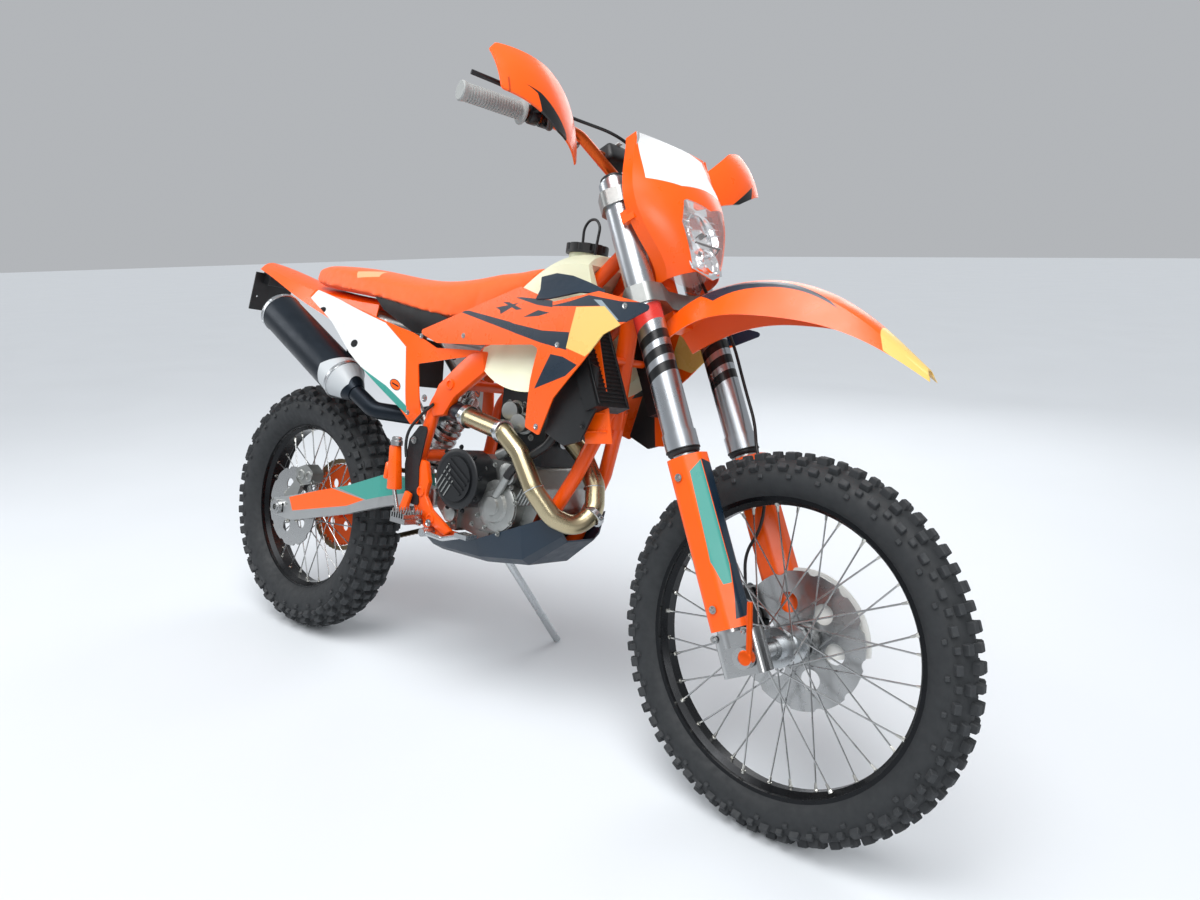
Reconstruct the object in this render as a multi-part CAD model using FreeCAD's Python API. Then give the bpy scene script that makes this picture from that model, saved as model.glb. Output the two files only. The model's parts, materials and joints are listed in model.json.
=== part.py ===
"""Enduro dirt bike, parked on its side stand. Lengths in millimetres, angles in degrees.

It is drawn upright: X forward, Y to its left, Z up, with the ground under the rear axle as origin.
The steered pieces are drawn in the fork's own frame: X forward and square to the fork, Y left,
Z up along the fork, with the front axle as origin. At the end everything is leaned onto the stand.
"""
import FreeCAD, Part
import math
import os

V = FreeCAD.Vector
Y_AXIS = V(0, 1, 0)

# Overall geometry
wheelbase = 1487.0
head_angle = 26.1          # steering axis from the vertical
axle_offset = 56.0         # front axle ahead of the steering axis
leg_offset = 34.0          # fork legs behind the front axle
leg_spread = 104.0         # half the distance between the fork legs
lean_angle = 12.0
rest_steer = -2.0          # bars turned a little to the right at rest
steer_lock = 44.0

# Wheels
front_radius, front_width = 352.0, 90.0
rear_radius, rear_width = 342.0, 138.0
front_bead, front_rim_width = 266.7, 54.0
rear_bead, rear_rim_width = 228.6, 68.0
tyre_wall = 9.0
lug_rows = 60               # steps round a tyre, each with blocks on its crown or its shoulders
front_lug, rear_lug = 13.0, 15.0
rim_wall = 3.0
rim_flange = 13.0
rim_well = 9.0
spoke_pairs = 9
spoke_size = 3.4
hub_flange = 36.0
axle_radius = 12.5
axle_bore = 8.0
running_gap = 0.4

# Brakes and drive
front_disc, rear_disc = 130.0, 110.0
disc_thickness = 3.0
front_disc_y, rear_disc_y = 58.0, -74.0
pad_gap = 5.5
chain_y = 84.6
chain_half = 8.0
chain_pitch = 15.875
chain_links = 114
rear_teeth, front_teeth = 50, 13
sprocket_thickness = 6.0
output_shaft = V(638, 0, 470)
hinge_gap = 5.0            # between pieces that swing past each other

# Fork, all heights up the fork from the front axle
inner_leg = 24.0
outer_tube = 29.5
outer_low, outer_high = 381.0, 932.0
lower_clamp, lower_clamp_height = 668.0, 38.0
upper_clamp, upper_clamp_height = 878.0, 32.0
clamp_back, clamp_side = 40.0, 10.0   # rear corner of a clamp from its leg
stem_radius = 16.0
head_tube_radius = 30.0
bar_rise, bar_forward = 42.0, 10.0   # bar above the upper clamp
bar_height = upper_clamp + upper_clamp_height + bar_rise
bar_radius, bar_bore, bar_bore_depth = 11.1, 7.5, 90.0
bar_mouth = 1.0                       # chamfer at the bar's open ends
grip_end = 405.0
brace_height = 58.0
guard_wall = 4.0
fit_gap = 0.3

# Chassis
pivot = V(572, 0, 466)
pivot_bolt = 8.5
spar_radius = 15.5
rail_radius = 14.0
arm_outer, arm_wall = 116.0, 22.0
header_radius, header_wall = 21.0, 2.0
can_radius = 54.0
clutch, clutch_radius = V(730, -146, 536), 64.0
deck = 588.0               # joint between crankcase and cylinder
panel_wall = 3.0
skid_wall = 4.0
rad_back, rad_depth = -198.0, 32.0     # radiators, in the fork's frame
rad_low, rad_height = 512.0, 223.0
rad_top = rad_low + rad_height
rad_inner, rad_outer = 54.0, 158.0
cap_seat, cap_top = 1053.0, 1073.0
plate_hole = 3.0
shock_top, shock_low = V(590, 0, 742), V(452, 0, 512)
eye_half = 13.0
spring_turns = 7
peg_seat = 130.0
stand_pivot = V(566, 126, 386)
stand_foot = V(653, 356, 77.4)
stand_radius = 10.0
stand_hub = 12.0
stand_bolt = 6.0
skid_floor = 356.2
hose_radius, breather_radius = 3.2, 3.0


def clamp_swing():
    """how far behind the steering axis a corner of the clamps reaches on full lock"""
    lock = math.radians(steer_lock - rest_steer)
    ahead = axle_offset - leg_offset - clamp_back
    return (leg_spread + clamp_side) * math.sin(lock) - ahead * math.cos(lock)


def poly_wire(points):
    return Part.makePolygon(list(points) + [points[0]])


def rounded(points, radius):
    """closed wire through the points with each corner rounded as far as its sides allow"""
    edges, starts, ends = [], [], []
    count = len(points)
    for i in range(count):
        p, a, b = points[i], points[i - 1], points[(i + 1) % count]
        da, db = (a - p), (b - p)
        half = da.getAngle(db) / 2
        cut = min(radius / math.tan(half), 0.45 * da.Length, 0.45 * db.Length)
        ua, ub = V(da).normalize(), V(db).normalize()
        s, e = p + ua * cut, p + ub * cut
        middle = (ua + ub)
        if middle.Length < 1e-6 or cut < 1e-6:
            starts.append(p)
            ends.append(p)
            edges.append(None)
            continue
        r = cut * math.tan(half)
        centre = p + middle.normalize() * (r / math.sin(half))
        m = centre + (p - centre).normalize() * r
        starts.append(s)
        ends.append(e)
        edges.append(Part.Arc(s, m, e).toShape())
    wire = []
    for i in range(count):
        if edges[i] is not None:
            wire.append(edges[i])
        nxt = starts[(i + 1) % count]
        if (ends[i] - nxt).Length > 1e-6:
            wire.append(Part.LineSegment(ends[i], nxt).toShape())
    return Part.Wire(wire)


def side(points, y=0.0):
    """(x, z) pairs as points of the side view"""
    return [V(x, y, z) for x, z in points]


def plate(points, y0, y1, radius=0.0):
    """side-view outline, extruded across from y0 to y1"""
    pts = side(points, y0)
    wire = rounded(pts, radius) if radius else poly_wire(pts)
    return Part.Face(wire).extrude(V(0, y1 - y0, 0))


def cross_plate(points, z0, z1, radius=0.0):
    """plan outline of (x, y) pairs, extruded up from z0 to z1"""
    pts = [V(x, y, z0) for x, y in points]
    wire = rounded(pts, radius) if radius else poly_wire(pts)
    return Part.Face(wire).extrude(V(0, 0, z1 - z0))


def rod(a, b, r):
    return Part.makeCylinder(r, (b - a).Length, a, b - a)


def hollow(a, b, r, bore):
    return rod(a, b, r).cut(rod(a, b, bore))


def pin(x, z, y0, y1, r):
    """round bar across the bike"""
    return Part.makeCylinder(r, abs(y1 - y0), V(x, min(y0, y1), z), Y_AXIS)


def box(x0, x1, y0, y1, z0, z1):
    return Part.makeBox(x1 - x0, y1 - y0, z1 - z0, V(x0, y0, z0))


def path(points, bend):
    """straight runs joined by tangent arcs; bend is one radius or one for each corner"""
    edges = []
    here = points[0]
    for i in range(1, len(points) - 1):
        p, a, b = points[i], points[i - 1], points[i + 1]
        da, db = (a - p).normalize(), (b - p).normalize()
        half = da.getAngle(db) / 2
        r = bend[i - 1] if isinstance(bend, (list, tuple)) else bend
        cut = min(r / math.tan(half), 0.48 * (a - p).Length, 0.48 * (b - p).Length)
        r = cut * math.tan(half)
        s, e = p + da * cut, p + db * cut
        centre = p + (da + db).normalize() * (r / math.sin(half))
        m = centre + (p - centre).normalize() * r
        if (s - here).Length > 1e-6:
            edges.append(Part.LineSegment(here, s).toShape())
        edges.append(Part.Arc(s, m, e).toShape())
        here = e
    edges.append(Part.LineSegment(here, points[-1]).toShape())
    return Part.Wire(edges)


def pipe(points, r, bend=60.0, bore=0.0):
    """round tube along the points"""
    spine = path(points, bend)
    start = (points[1] - points[0])
    sections = []
    for radius in (r, bore):
        if radius:
            ring = Part.Wire(Part.makeCircle(radius, points[0], start))
            sections.append(spine.makePipeShell([ring], True, True))
    return sections[0].cut(sections[1]) if bore else sections[0]


def cord(points, r):
    """hose along the points, each bend as wide as the shorter of its runs allows"""
    bends = []
    for a, p, b in zip(points, points[1:], points[2:]):
        half = (a - p).getAngle(b - p) / 2
        bends.append(0.45 * min((a - p).Length, (b - p).Length) * math.tan(half))
    return pipe(points, r, bends)


def ring(profile):
    """closed (radius, y) profile turned about the Y axis"""
    face = Part.Face(poly_wire([V(r, y, 0) for r, y in profile]))
    return face.revolve(V(0, 0, 0), Y_AXIS, 360)


def mirrored(shape):
    return shape.mirror(V(0, 0, 0), Y_AXIS)


def both(shape):
    """a piece and its twin on the other side"""
    return [shape, mirrored(shape)]


def fused(shapes):
    result = shapes[0].multiFuse(shapes[1:]) if len(shapes) > 1 else shapes[0]
    return result.removeSplitter()


def at(shape, place):
    moved = shape.copy()
    moved.translate(place)
    return moved


def bow(x, w, z0, z1, z2, shoulder=0.85):
    """cross-section at x: flat underside at z0, sides up to z1 and a crowned top to z2"""
    a, b = V(x, w, z0), V(x, w * shoulder, z1)
    c, d = V(x, -w * shoulder, z1), V(x, -w, z0)
    return Part.Wire([Part.LineSegment(d, a).toShape(), Part.LineSegment(a, b).toShape(),
                      Part.Arc(b, V(x, 0, z2), c).toShape(), Part.LineSegment(c, d).toShape()])


def loft(wires, ruled=False):
    return Part.makeLoft(wires, True, ruled)


def under_bow(x, w, z0, z1, z2, shoulder, wall):
    """the hollow inside a bow section, a wall in from its sides and top and open below"""
    half = [V(x, w - wall, z0 - 60), V(x, w - wall, z0), V(x, w * shoulder - wall, z1)]
    twin = [V(p.x, -p.y, p.z) for p in reversed(half)]
    edges = [Part.LineSegment(half[0], half[1]).toShape(), Part.LineSegment(half[1], half[2]).toShape(),
             Part.Arc(half[2], V(x, 0, z2 - wall), twin[0]).toShape(),
             Part.LineSegment(twin[0], twin[1]).toShape(), Part.LineSegment(twin[1], twin[2]).toShape(),
             Part.LineSegment(twin[2], half[0]).toShape()]
    return Part.Wire(edges)


def shell(rows, shoulder, wall, x0, x1):
    """curved cover open below, from rows of bow sections; the ends are cut off square at x0 and x1"""
    outer = loft([bow(*row, shoulder) for row in rows])
    inner = loft([under_bow(*row, shoulder, wall) for row in rows])
    keep = box(x0, x1, -400, 400, 0, 1400)
    return outer.cut(inner).common(keep), outer


def skin(outline, width, x_range, z_range, wall, radius=6.0, grid=6):
    """right-hand body panel: the side-view outline cut from a sheet that stands width(x, z) out"""
    rows = []
    for i in range(grid):
        x = x_range[0] + (x_range[1] - x_range[0]) * i / (grid - 1)
        row = []
        for j in range(grid):
            z = z_range[0] + (z_range[1] - z_range[0]) * j / (grid - 1)
            row.append(V(x, -width(x, z), z))
        rows.append(row)
    surface = Part.BSplineSurface()
    surface.interpolate(rows)
    sheet = surface.toShape().extrude(V(0, wall, 0))
    return plate(outline, -400, 0, radius).common(sheet)


# Fork frame to bike frame, and the steering at rest
front_axle_at = V(wheelbase, 0, front_radius)
rear_axle_at = V(0, 0, rear_radius)
fork_frame = FreeCAD.Placement(front_axle_at, FreeCAD.Rotation(Y_AXIS, -head_angle))
steer_axis = fork_frame.Rotation.multVec(V(0, 0, 1))
steer_foot = fork_frame.multVec(V(-axle_offset, 0, 0))


def steered(shape):
    """from the fork's frame to the bike, turned to the resting steer"""
    moved = shape.copy()
    moved.Placement = fork_frame.multiply(moved.Placement)
    moved.rotate(steer_foot, steer_axis, rest_steer)
    return moved


# Wheels, each about the origin

def tyre_section(radius, width, bead, bead_width, lug):
    """(radius, y) of the casing's points down one side, and of the tops of its blocks"""
    half, seat, deep = width / 2, bead_width / 2, radius - bead
    crown = radius - lug
    casing = [(crown, 0.27 * half), (crown - 0.04 * deep, 0.42 * half), (crown - 0.2 * deep, 0.86 * half),
              (bead + 0.45 * deep, 0.91 * half), (bead + rim_flange + 0.5, seat - 0.5),
              (bead + 0.5, seat - tyre_wall), (crown - tyre_wall, 0.5 * half)]
    tops = [(radius, 0.25 * half), (radius - 0.05 * deep, 0.45 * half), (crown - 0.1 * deep, half)]
    return casing, tops


def tyre(radius, width, bead, bead_width, lug, down):
    """closed shell of flat faces; a crown block is centred on the angle that points down"""
    casing, tops = tyre_section(radius, width, bead, bead_width, lug)
    loop = casing + [(r, -y) for r, y in reversed(casing)]
    twin = [(r, -y) for r, y in tops]
    count = len(loop)
    blocks = {1: (tops[1], tops[2]), count - 1: (twin[0], tops[0]), count - 3: (twin[2], twin[1])}
    faces = []
    for k in range(lug_rows):
        turns = [math.radians(down + 360.0 * (k + side - 0.5) / lug_rows) for side in (0, 1)]
        for i in range(count):
            base = [loop[i], loop[(i + 1) % count]]
            corners = [turned(base[0], turns[0]), turned(base[1], turns[0]),
                       turned(base[1], turns[1]), turned(base[0], turns[1])]
            on_crown = i == count - 1
            if i in blocks and on_crown == (k % 2 == 0):
                a, b = blocks[i]
                lid = [turned(a, turns[0]), turned(b, turns[0]), turned(b, turns[1]), turned(a, turns[1])]
                faces.append(facet(lid))
                for n in range(4):
                    m = (n + 1) % 4
                    faces.append(facet([corners[n], corners[m], lid[m], lid[n]]))
            else:
                faces.append(facet(corners))
    return Part.makeSolid(Part.makeShell(faces))


def turned(point, angle):
    r, y = point
    return V(r * math.cos(angle), y, r * math.sin(angle))


def facet(corners):
    return Part.Face(poly_wire(corners))


def rim(bead, width):
    half, flange, well = width / 2, bead + rim_flange, bead - rim_well
    upper = [(flange, half), (flange, half - rim_wall), (bead, half - rim_wall), (bead, half - 12),
             (well, half - 18)]
    lower = [(well - rim_wall, half - 18), (bead - rim_wall, half - 8), (bead - rim_wall, half)]
    left = upper + [(r, -y) for r, y in reversed(upper)]
    right = [(r, -y) for r, y in reversed(lower)] + lower
    return ring(left + right)


def spokes(bead, flange_y, rim_y):
    """two families a side, laced across each other without touching"""
    reach = bead - rim_well - rim_wall - fit_gap
    start = hub_flange + spoke_size / 2 + fit_gap
    bars = []
    for s in (1, -1):
        for way, shift in ((1, 2.6), (-1, -2.6)):
            for k in range(spoke_pairs):
                a0 = math.radians(360.0 * (k + 0.25 * way + 0.5 * (s > 0)) / spoke_pairs)
                a1 = a0 + way * math.radians(64)
                p = V(start * math.cos(a0), s * (flange_y + shift), start * math.sin(a0))
                q = V(reach * math.cos(a1), s * (rim_y + shift), reach * math.sin(a1))
                bars.append(bar(p, q, spoke_size))
    return bars


def bar(p, q, size):
    """thin six-sided bar"""
    along = (q - p)
    u = along.cross(Y_AXIS).normalize()
    w = along.cross(u).normalize()
    pts = []
    for i in range(6):
        a = math.radians(60 * i)
        pts.append(p + u * (math.cos(a) * size / 2) + w * (math.sin(a) * size / 2))
    return Part.Face(poly_wire(pts)).extrude(along)


def hub(flange_y, half_length, barrel):
    prof = [(axle_radius + running_gap, -half_length), (barrel, -half_length),
            (barrel, -flange_y - 5), (hub_flange, -flange_y - 5), (hub_flange, -flange_y + 5),
            (barrel - 2, -flange_y + 9), (barrel - 2, flange_y - 9), (hub_flange, flange_y - 5),
            (hub_flange, flange_y + 5), (barrel, flange_y + 5), (barrel, half_length),
            (axle_radius + running_gap, half_length)]
    return ring(prof)


def disc(radius, inner, y, petals, hub_end):
    """brake disc with a waved edge and a carrier down to the hub's end"""
    half = disc_thickness / 2
    way = 1 if y > 0 else -1
    carrier = carrier_ring(inner, y - way * half, way * (hub_end + fit_gap))
    body = ring([(inner, y - half), (radius, y - half), (radius, y + half), (inner, y + half)])
    cuts = []
    for k in range(petals):
        a = math.radians(360.0 * k / petals)
        cuts.append(pin((radius + 9) * math.cos(a), (radius + 9) * math.sin(a), y - 9, y + 9, 14))
    hole = radius * 0.56
    for k in range(petals // 2):
        a = math.radians(720.0 * (k + 0.5) / petals)
        cuts.append(pin(hole * math.cos(a), hole * math.sin(a), y - 9, y + 9, radius * 0.15))
    return body.cut(Part.makeCompound(cuts)).fuse(carrier)


def carrier_ring(inner, y0, y1):
    low, high = sorted((y0, y1))
    return ring([(axle_radius + 6, low), (inner + 5, low), (inner + 5, high), (axle_radius + 6, high)])


def toothed(teeth, y):
    """the toothed rim runs just inside the rollers of the chain"""
    pitch_radius = chain_pitch / 2 / math.sin(math.pi / teeth)
    tip, root = pitch_radius - 7.4, pitch_radius - 14.0
    pts = []
    for k in range(teeth):
        for part, r in ((-0.30, root), (-0.14, tip), (0.14, tip), (0.30, root)):
            a = 2 * math.pi * (k + part) / teeth
            pts.append((r * math.cos(a), r * math.sin(a)))
    half = sprocket_thickness / 2
    return plate(pts, y - half, y + half)


def sprocket(teeth, y, bore, hub_end):
    gear = toothed(teeth, y)
    holes = [pin(0, 0, y - 9, y + 9, bore)]
    for k in range(6):
        a = math.radians(60 * k)
        holes.append(pin(bore * 1.95 * math.cos(a), bore * 1.95 * math.sin(a), y - 9, y + 9, bore * 0.42))
    carrier = carrier_ring(bore, y - sprocket_thickness / 2, hub_end + fit_gap)
    return gear.cut(Part.makeCompound(holes)).fuse(carrier)


# Steered pieces, in the fork's frame

def triple_clamps():
    parts = []
    for base, height in ((lower_clamp, lower_clamp_height), (upper_clamp, upper_clamp_height)):
        outline = [(-leg_offset + 32, leg_spread + 22), (-leg_offset + 36, leg_spread - 20),
                   (-axle_offset + 36, 34), (-axle_offset + 36, -34),
                   (-leg_offset + 36, -leg_spread + 20), (-leg_offset + 32, -leg_spread - 22),
                   (-leg_offset - 8, -leg_spread - 40),
                   (-leg_offset - clamp_back, -leg_spread - clamp_side),
                   (-axle_offset - 30, -40), (-axle_offset - 30, 40),
                   (-leg_offset - clamp_back, leg_spread + clamp_side),
                   (-leg_offset - 8, leg_spread + 40)]
        parts.append(cross_plate(outline, base, base + height, 16))
    parts.append(rod(V(-axle_offset, 0, lower_clamp), V(-axle_offset, 0, outer_high - 8), stem_radius))
    body = fused(parts)
    bores = [rod(V(-leg_offset, s * leg_spread, 600), V(-leg_offset, s * leg_spread, 1000),
                 outer_tube + fit_gap / 3) for s in (1, -1)]
    return body.cut(Part.makeCompound(bores))


def fork_outer_tubes():
    tubes = []
    for s in (1, -1):
        base = V(-leg_offset, s * leg_spread, 0)
        low, high = V(base.x, base.y, outer_low), V(base.x, base.y, outer_high)
        tube = rod(low, high, outer_tube)
        collar = rod(low, V(base.x, base.y, outer_low + 34), outer_tube + 2.5)
        cap = rod(high, V(base.x, base.y, outer_high + 9), outer_tube - 6)
        knob = rod(high, V(base.x, base.y, outer_high + 15), 9)
        whole = fused([tube, collar, cap, knob])
        socket = rod(V(base.x, base.y, outer_low - 1), V(base.x, base.y, outer_low + 120),
                     inner_leg + fit_gap)
        tubes.append(whole.cut(socket))
    return tubes


def fork_inner_legs():
    legs = []
    for s in (1, -1):
        y = s * leg_spread
        tube = rod(V(-leg_offset, y, 20), V(-leg_offset, y, outer_low + 110), inner_leg)
        lug = cross_plate([(-leg_offset - 27, y - 25), (22, y - 20), (28, y), (22, y + 20),
                          (-leg_offset - 27, y + 25)], -30, 46, 12)
        foot = fused([tube, lug])
        legs.append(foot.cut(rod(V(0, y - 60, 0), V(0, y + 60, 0), axle_radius + fit_gap / 3)))
    return legs


def fork_guards():
    """bent plates in front of the inner legs"""
    guards = []
    for s in (1, -1):
        y = s * leg_spread
        reach = inner_leg + 12
        outer = cross_plate([(-leg_offset - 24, y - reach), (-leg_offset + 18, y - reach + 2),
                            (-leg_offset + reach + 6, y - 14), (-leg_offset + reach + 6, y + 14),
                            (-leg_offset + 18, y + reach - 2), (-leg_offset - 24, y + reach)],
                           52, 366, 14)
        wall = panel_wall
        inner = cross_plate([(-leg_offset - 60, y - reach + wall), (-leg_offset + 17, y - reach + wall + 2),
                            (-leg_offset + reach + 6 - wall, y - 13), (-leg_offset + reach + 6 - wall, y + 13),
                            (-leg_offset + 17, y + reach - wall - 2), (-leg_offset - 60, y + reach - wall)],
                           40, 380, 12)
        pads = [box(-leg_offset - 12, -leg_offset + 10, y + min(side * 12, side * reach),
                    y + max(side * 12, side * reach), 70, 96) for side in (1, -1)]
        leg = rod(V(-leg_offset, y, 0), V(-leg_offset, y, 400), inner_leg + fit_gap)
        pads = [pad.common(outer).cut(leg) for pad in pads]
        guards.append(fused([outer.cut(inner)] + pads))
    return guards


def front_axle():
    shaft = rod(V(0, -leg_spread - 32, 0), V(0, leg_spread + 32, 0), axle_radius)
    head = rod(V(0, leg_spread + 26, 0), V(0, leg_spread + 34, 0), axle_radius + 5)
    lever = rod(V(0, -leg_spread - 40, 0), V(0, -leg_spread - 25 - fit_gap, 0), axle_radius + 6)
    body = fused([shaft, head, lever])
    return body.cut(rod(V(0, -200, 0), V(0, 200, 0), axle_bore))


def front_brake():
    """caliper behind the left leg, over the disc, and the round guard beside the disc"""
    caliper = plate([(-128, 30), (-74, 10), (-60, 60), (-66, 118), (-100, 128), (-132, 96)],
                    front_disc_y - 22, front_disc_y + 20, 12)
    slot = rod(V(0, front_disc_y - pad_gap, 0), V(0, front_disc_y + pad_gap, 0), front_disc + 5)
    arm = plate([(-84, 48), (-50, 48), (-50, 92), (-84, 92)], front_disc_y + 16, leg_spread, 4)
    leg = rod(V(-leg_offset, leg_spread, -20), V(-leg_offset, leg_spread, 400), inner_leg + fit_gap)
    return fused([caliper, arm]).cut(slot).cut(leg)


def disc_guard():
    y = front_disc_y + 12
    shell = rod(V(0, y, 0), V(0, y + 3, 0), front_disc + 4)
    keep = plate([(0, -40), (150, -60), (150, 90), (60, 150), (18, 128), (18, 60), (-20, 24), (-20, -20)],
                 y - 5, y + 20, 12)
    body = shell.common(keep)
    boss = rod(V(0, y, 0), V(0, leg_spread - 25 - fit_gap, 0), 24)
    hole = rod(V(0, y - 5, 0), V(0, y + 60, 0), axle_radius + 1)
    return fused([body, boss]).cut(hole)


def front_fender():
    rows = ((-90, 60, 596, 618, 632), (-62, 62, 600, 634, 648), (60, 84, 604, 654, 668),
            (180, 80, 560, 626, 640), (290, 62, 490, 546, 560), (404, 16, 350, 358, 372),
            (440, 4, 300, 304, 312))
    boss = box(-58, -26, -28, 28, 636, lower_clamp - fit_gap)
    return fused([shell(rows, 0.7, panel_wall, -62, 400)[0], boss])


def headlamp_mask():
    rows = ((712, 73, -19, 66), (740, 88, -4, 78), (785, 114, 0, 92), (850, 141, 4, 100),
            (925, 138, 18, 84), (992, 118, 30, 60))
    def section(u, w, back, front, inset):
        a, b = V(back - inset, w - inset, u), V(back + 26, w - inset, u)
        c, d = V(back + 26, -w + inset, u), V(back - inset, -w + inset, u)
        return Part.Wire([Part.LineSegment(d, a).toShape(), Part.LineSegment(a, b).toShape(),
                          Part.Arc(b, V(front - inset, 0, u), c).toShape(),
                          Part.LineSegment(c, d).toShape()])
    outer = loft([section(u, w, back, front, 0) for u, w, back, front in rows])
    grown = [(rows[0][0] - 8, rows[0][1], rows[0][2] - 3, rows[0][3] - 3)]
    grown += [(u, w, back, front) for u, w, back, front in rows[1:-1]]
    grown += [(rows[-1][0] + 8, rows[-1][1] - 2, rows[-1][2] + 2, rows[-1][3] - 4)]
    inner = loft([section(u, w, back, front, panel_wall) for u, w, back, front in grown])
    return outer, inner


def mask_tabs():
    """short tabs from the mask's sides back to the fork tubes"""
    tubes = fused(both(rod(V(-leg_offset, leg_spread, 600), V(-leg_offset, leg_spread, 1000),
                           outer_tube + fit_gap)))
    return [box(-leg_offset + 20, 16, y0, y0 + 14, 826, 850).cut(tubes)
            for y0 in (leg_spread + 20, -leg_spread - 34)]


def lamp_window(inset):
    pts = [(-66 + inset, 846 - inset), (0, 826 - inset), (66 - inset, 846 - inset),
           (74 - inset, 800), (48 - inset, 722 + inset), (0, 702 + inset), (-48 + inset, 722 + inset),
           (-74 + inset, 800)]
    return Part.Face(rounded([V(-20, y, u) for y, u in pts], 8)).extrude(V(200, 0, 0))


def bar_line():
    """left half of the handlebar's centre line"""
    f = -axle_offset + bar_forward
    return [V(f, 62, bar_height), V(f - 4, 150, bar_height + 84),
            V(f - 14, 220, bar_height + 100), V(f - 52, grip_end, bar_height + 126)]


def handlebar():
    half = bar_line()
    tip, before = half[-1], half[-2]
    inward = (before - tip).normalize()
    straight = tip + inward * (bar_bore_depth + 20)
    bent = half[:-1] + [straight]
    tube = pipe([V(p.x, -p.y, p.z) for p in reversed(bent)] + bent, bar_radius, 45)
    share = brace_height / (half[1].z - half[0].z)
    knee = half[0] + (half[1] - half[0]) * share
    brace = rod(V(knee.x, -knee.y, knee.z), knee, 6)
    body = fused([tube, brace] + both(rod(straight - inward * -0.5, tip, bar_radius)))
    mouth = Part.makeCone(bar_bore, bar_bore + 2 * bar_mouth, 2 * bar_mouth, tip + inward * bar_mouth, -inward)
    bore = rod(tip - inward, tip + inward * bar_bore_depth, bar_bore).fuse(mouth)
    return body.cut(both(bore))


def bar_clamps():
    """two blocks that hold the bar on the upper clamp"""
    f = bar_line()[0].x
    foot = upper_clamp + upper_clamp_height + fit_gap
    blocks = []
    for s in (1, -1):
        y0, y1 = sorted((s * (stem_radius + 2), s * (stem_radius + 26)))
        block = box(f - 20, f + 20, y0, y1, foot, bar_height + 18)
        block = block.makeFillet(5, [e for e in block.Edges if abs(e.tangentAt(0).y) > 0.9])
        blocks.append(block.cut(rod(V(f, y0 - 1, bar_height), V(f, y1 + 1, bar_height),
                                    bar_radius + fit_gap / 3)))
    return blocks


def hand_guard_mounts():
    """clamp on the bar beside each grip with an arm forward to the guard"""
    a, b = bar_line()[-2:]
    run = (b - a).normalize()
    ring = hollow(a + run * 8, a + run * 22, bar_radius + 6, bar_radius + fit_gap / 3)
    middle = a + run * 15
    arm = pipe([middle - V(0, 0, bar_radius + 2), middle + V(14, 6, -32), V(20, 300, middle.z - 32)], 6, 16)
    flange = rod(V(0, 300, middle.z - 32), V(40, 300, middle.z - 32), 12)
    ahead = guard_surface().toShape().extrude(V(80, 0, 0))
    ahead.translate(V(-guard_wall - fit_gap, 0, 0))
    keep = box(14, 60, 280, 320, 0, 1300)
    return both(fused([ring, arm, flange.common(keep)]).cut(ahead))


def grip(s):
    a, b = bar_line()[-2:]
    run = (b - a)
    p, q = a + run * (grip_start(a, b) / run.Length), b
    sleeve = hollow(p, q, bar_radius + 6, bar_radius + fit_gap)
    collar = hollow(p, p + run * 0.03, bar_radius + 14, bar_radius + fit_gap)
    body = fused([sleeve, collar])
    return body if s > 0 else mirrored(body)


def hand_levers():
    """clutch and brake levers with their cylinders, just inboard of the grips"""
    a, b = bar_line()[-2:]
    run = (b - a).normalize()
    spot = a + run * (grip_start(a, b) - 16)
    clamp = hollow(spot - run * 8, spot + run * 8, bar_radius + 5, bar_radius + fit_gap / 3)
    body = rod(spot + V(34, 6, -6), spot + V(40, -44, -10), 10)
    neck = rod(spot + V(bar_radius + 2, 0, 0), spot + V(34, 2, -6), 7)
    tank = box(spot.x + 26, spot.x + 50, spot.y - 44, spot.y - 12, spot.z - 4, spot.z + 14)
    blade = pipe([spot + V(36, 2, -7), spot + V(48, 40, -10), spot + V(34, 120, 6),
                  spot + V(22, 158, 18)], 4.5, 40)
    return both(fused([clamp, body, neck, tank, blade]))


def front_brake_hose():
    """from the right master cylinder over to the left leg and down to the caliper"""
    a, b = bar_line()[-2:]
    run = (b - a).normalize()
    spot = a + run * (grip_start(a, b) - 16)
    end, before = spot + V(40, -44, -10), spot + V(34, 6, -6)
    out = (end - before).normalize()
    start = [end + out * fit_gap, end + out * 46]
    middle = [V(6, -105, 1018), V(12, -22, 972), V(8, 52, 912), V(-5, 66, 850), V(-6, 68, 790),
              V(0, 65, 716), V(10, 92, 652), V(13, 100, 588), V(10, 101, 504), V(15, 92, 424), V(19, 62, 368),
              V(18, 60, 290), V(-14, 60, 222)]
    seat_at, normal = V(-84, 60, 123.3), V(10, 0, 34).normalize()
    return cord([V(p.x, -p.y, p.z) for p in start] + middle
                + [seat_at + normal * 60, seat_at + normal * fit_gap], hose_radius)


def guard_bulge(y, u):
    """how far forward the guard stands at a place on it"""
    return 34 - 0.0032 * (y - 330) ** 2 - 0.0030 * (u - 1035) ** 2


def grip_start(a, b):
    return (b - a).Length * 0.32


def guard_surface():
    rows = []
    for i in range(5):
        y = 180 + 62 * i
        row = []
        for j in range(4):
            u = 930 + 65 * j
            row.append(V(guard_bulge(y, u), y, u))
        rows.append(row)
    surface = Part.BSplineSurface()
    surface.interpolate(rows)
    return surface


def hand_guard():
    """left guard: a curved sheet in front of the grip"""
    sheet = guard_surface().toShape().extrude(V(-guard_wall, 0, 0))
    pts = [(196, 1012), (300, 1084), (398, 1112), (414, 1096), (416, 1010), (300, 960), (196, 950)]
    cutter = Part.Face(rounded([V(-100, y, u) for y, u in pts], 10)).extrude(V(200, 0, 0))
    return cutter.common(sheet)


# Chassis pieces

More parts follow.
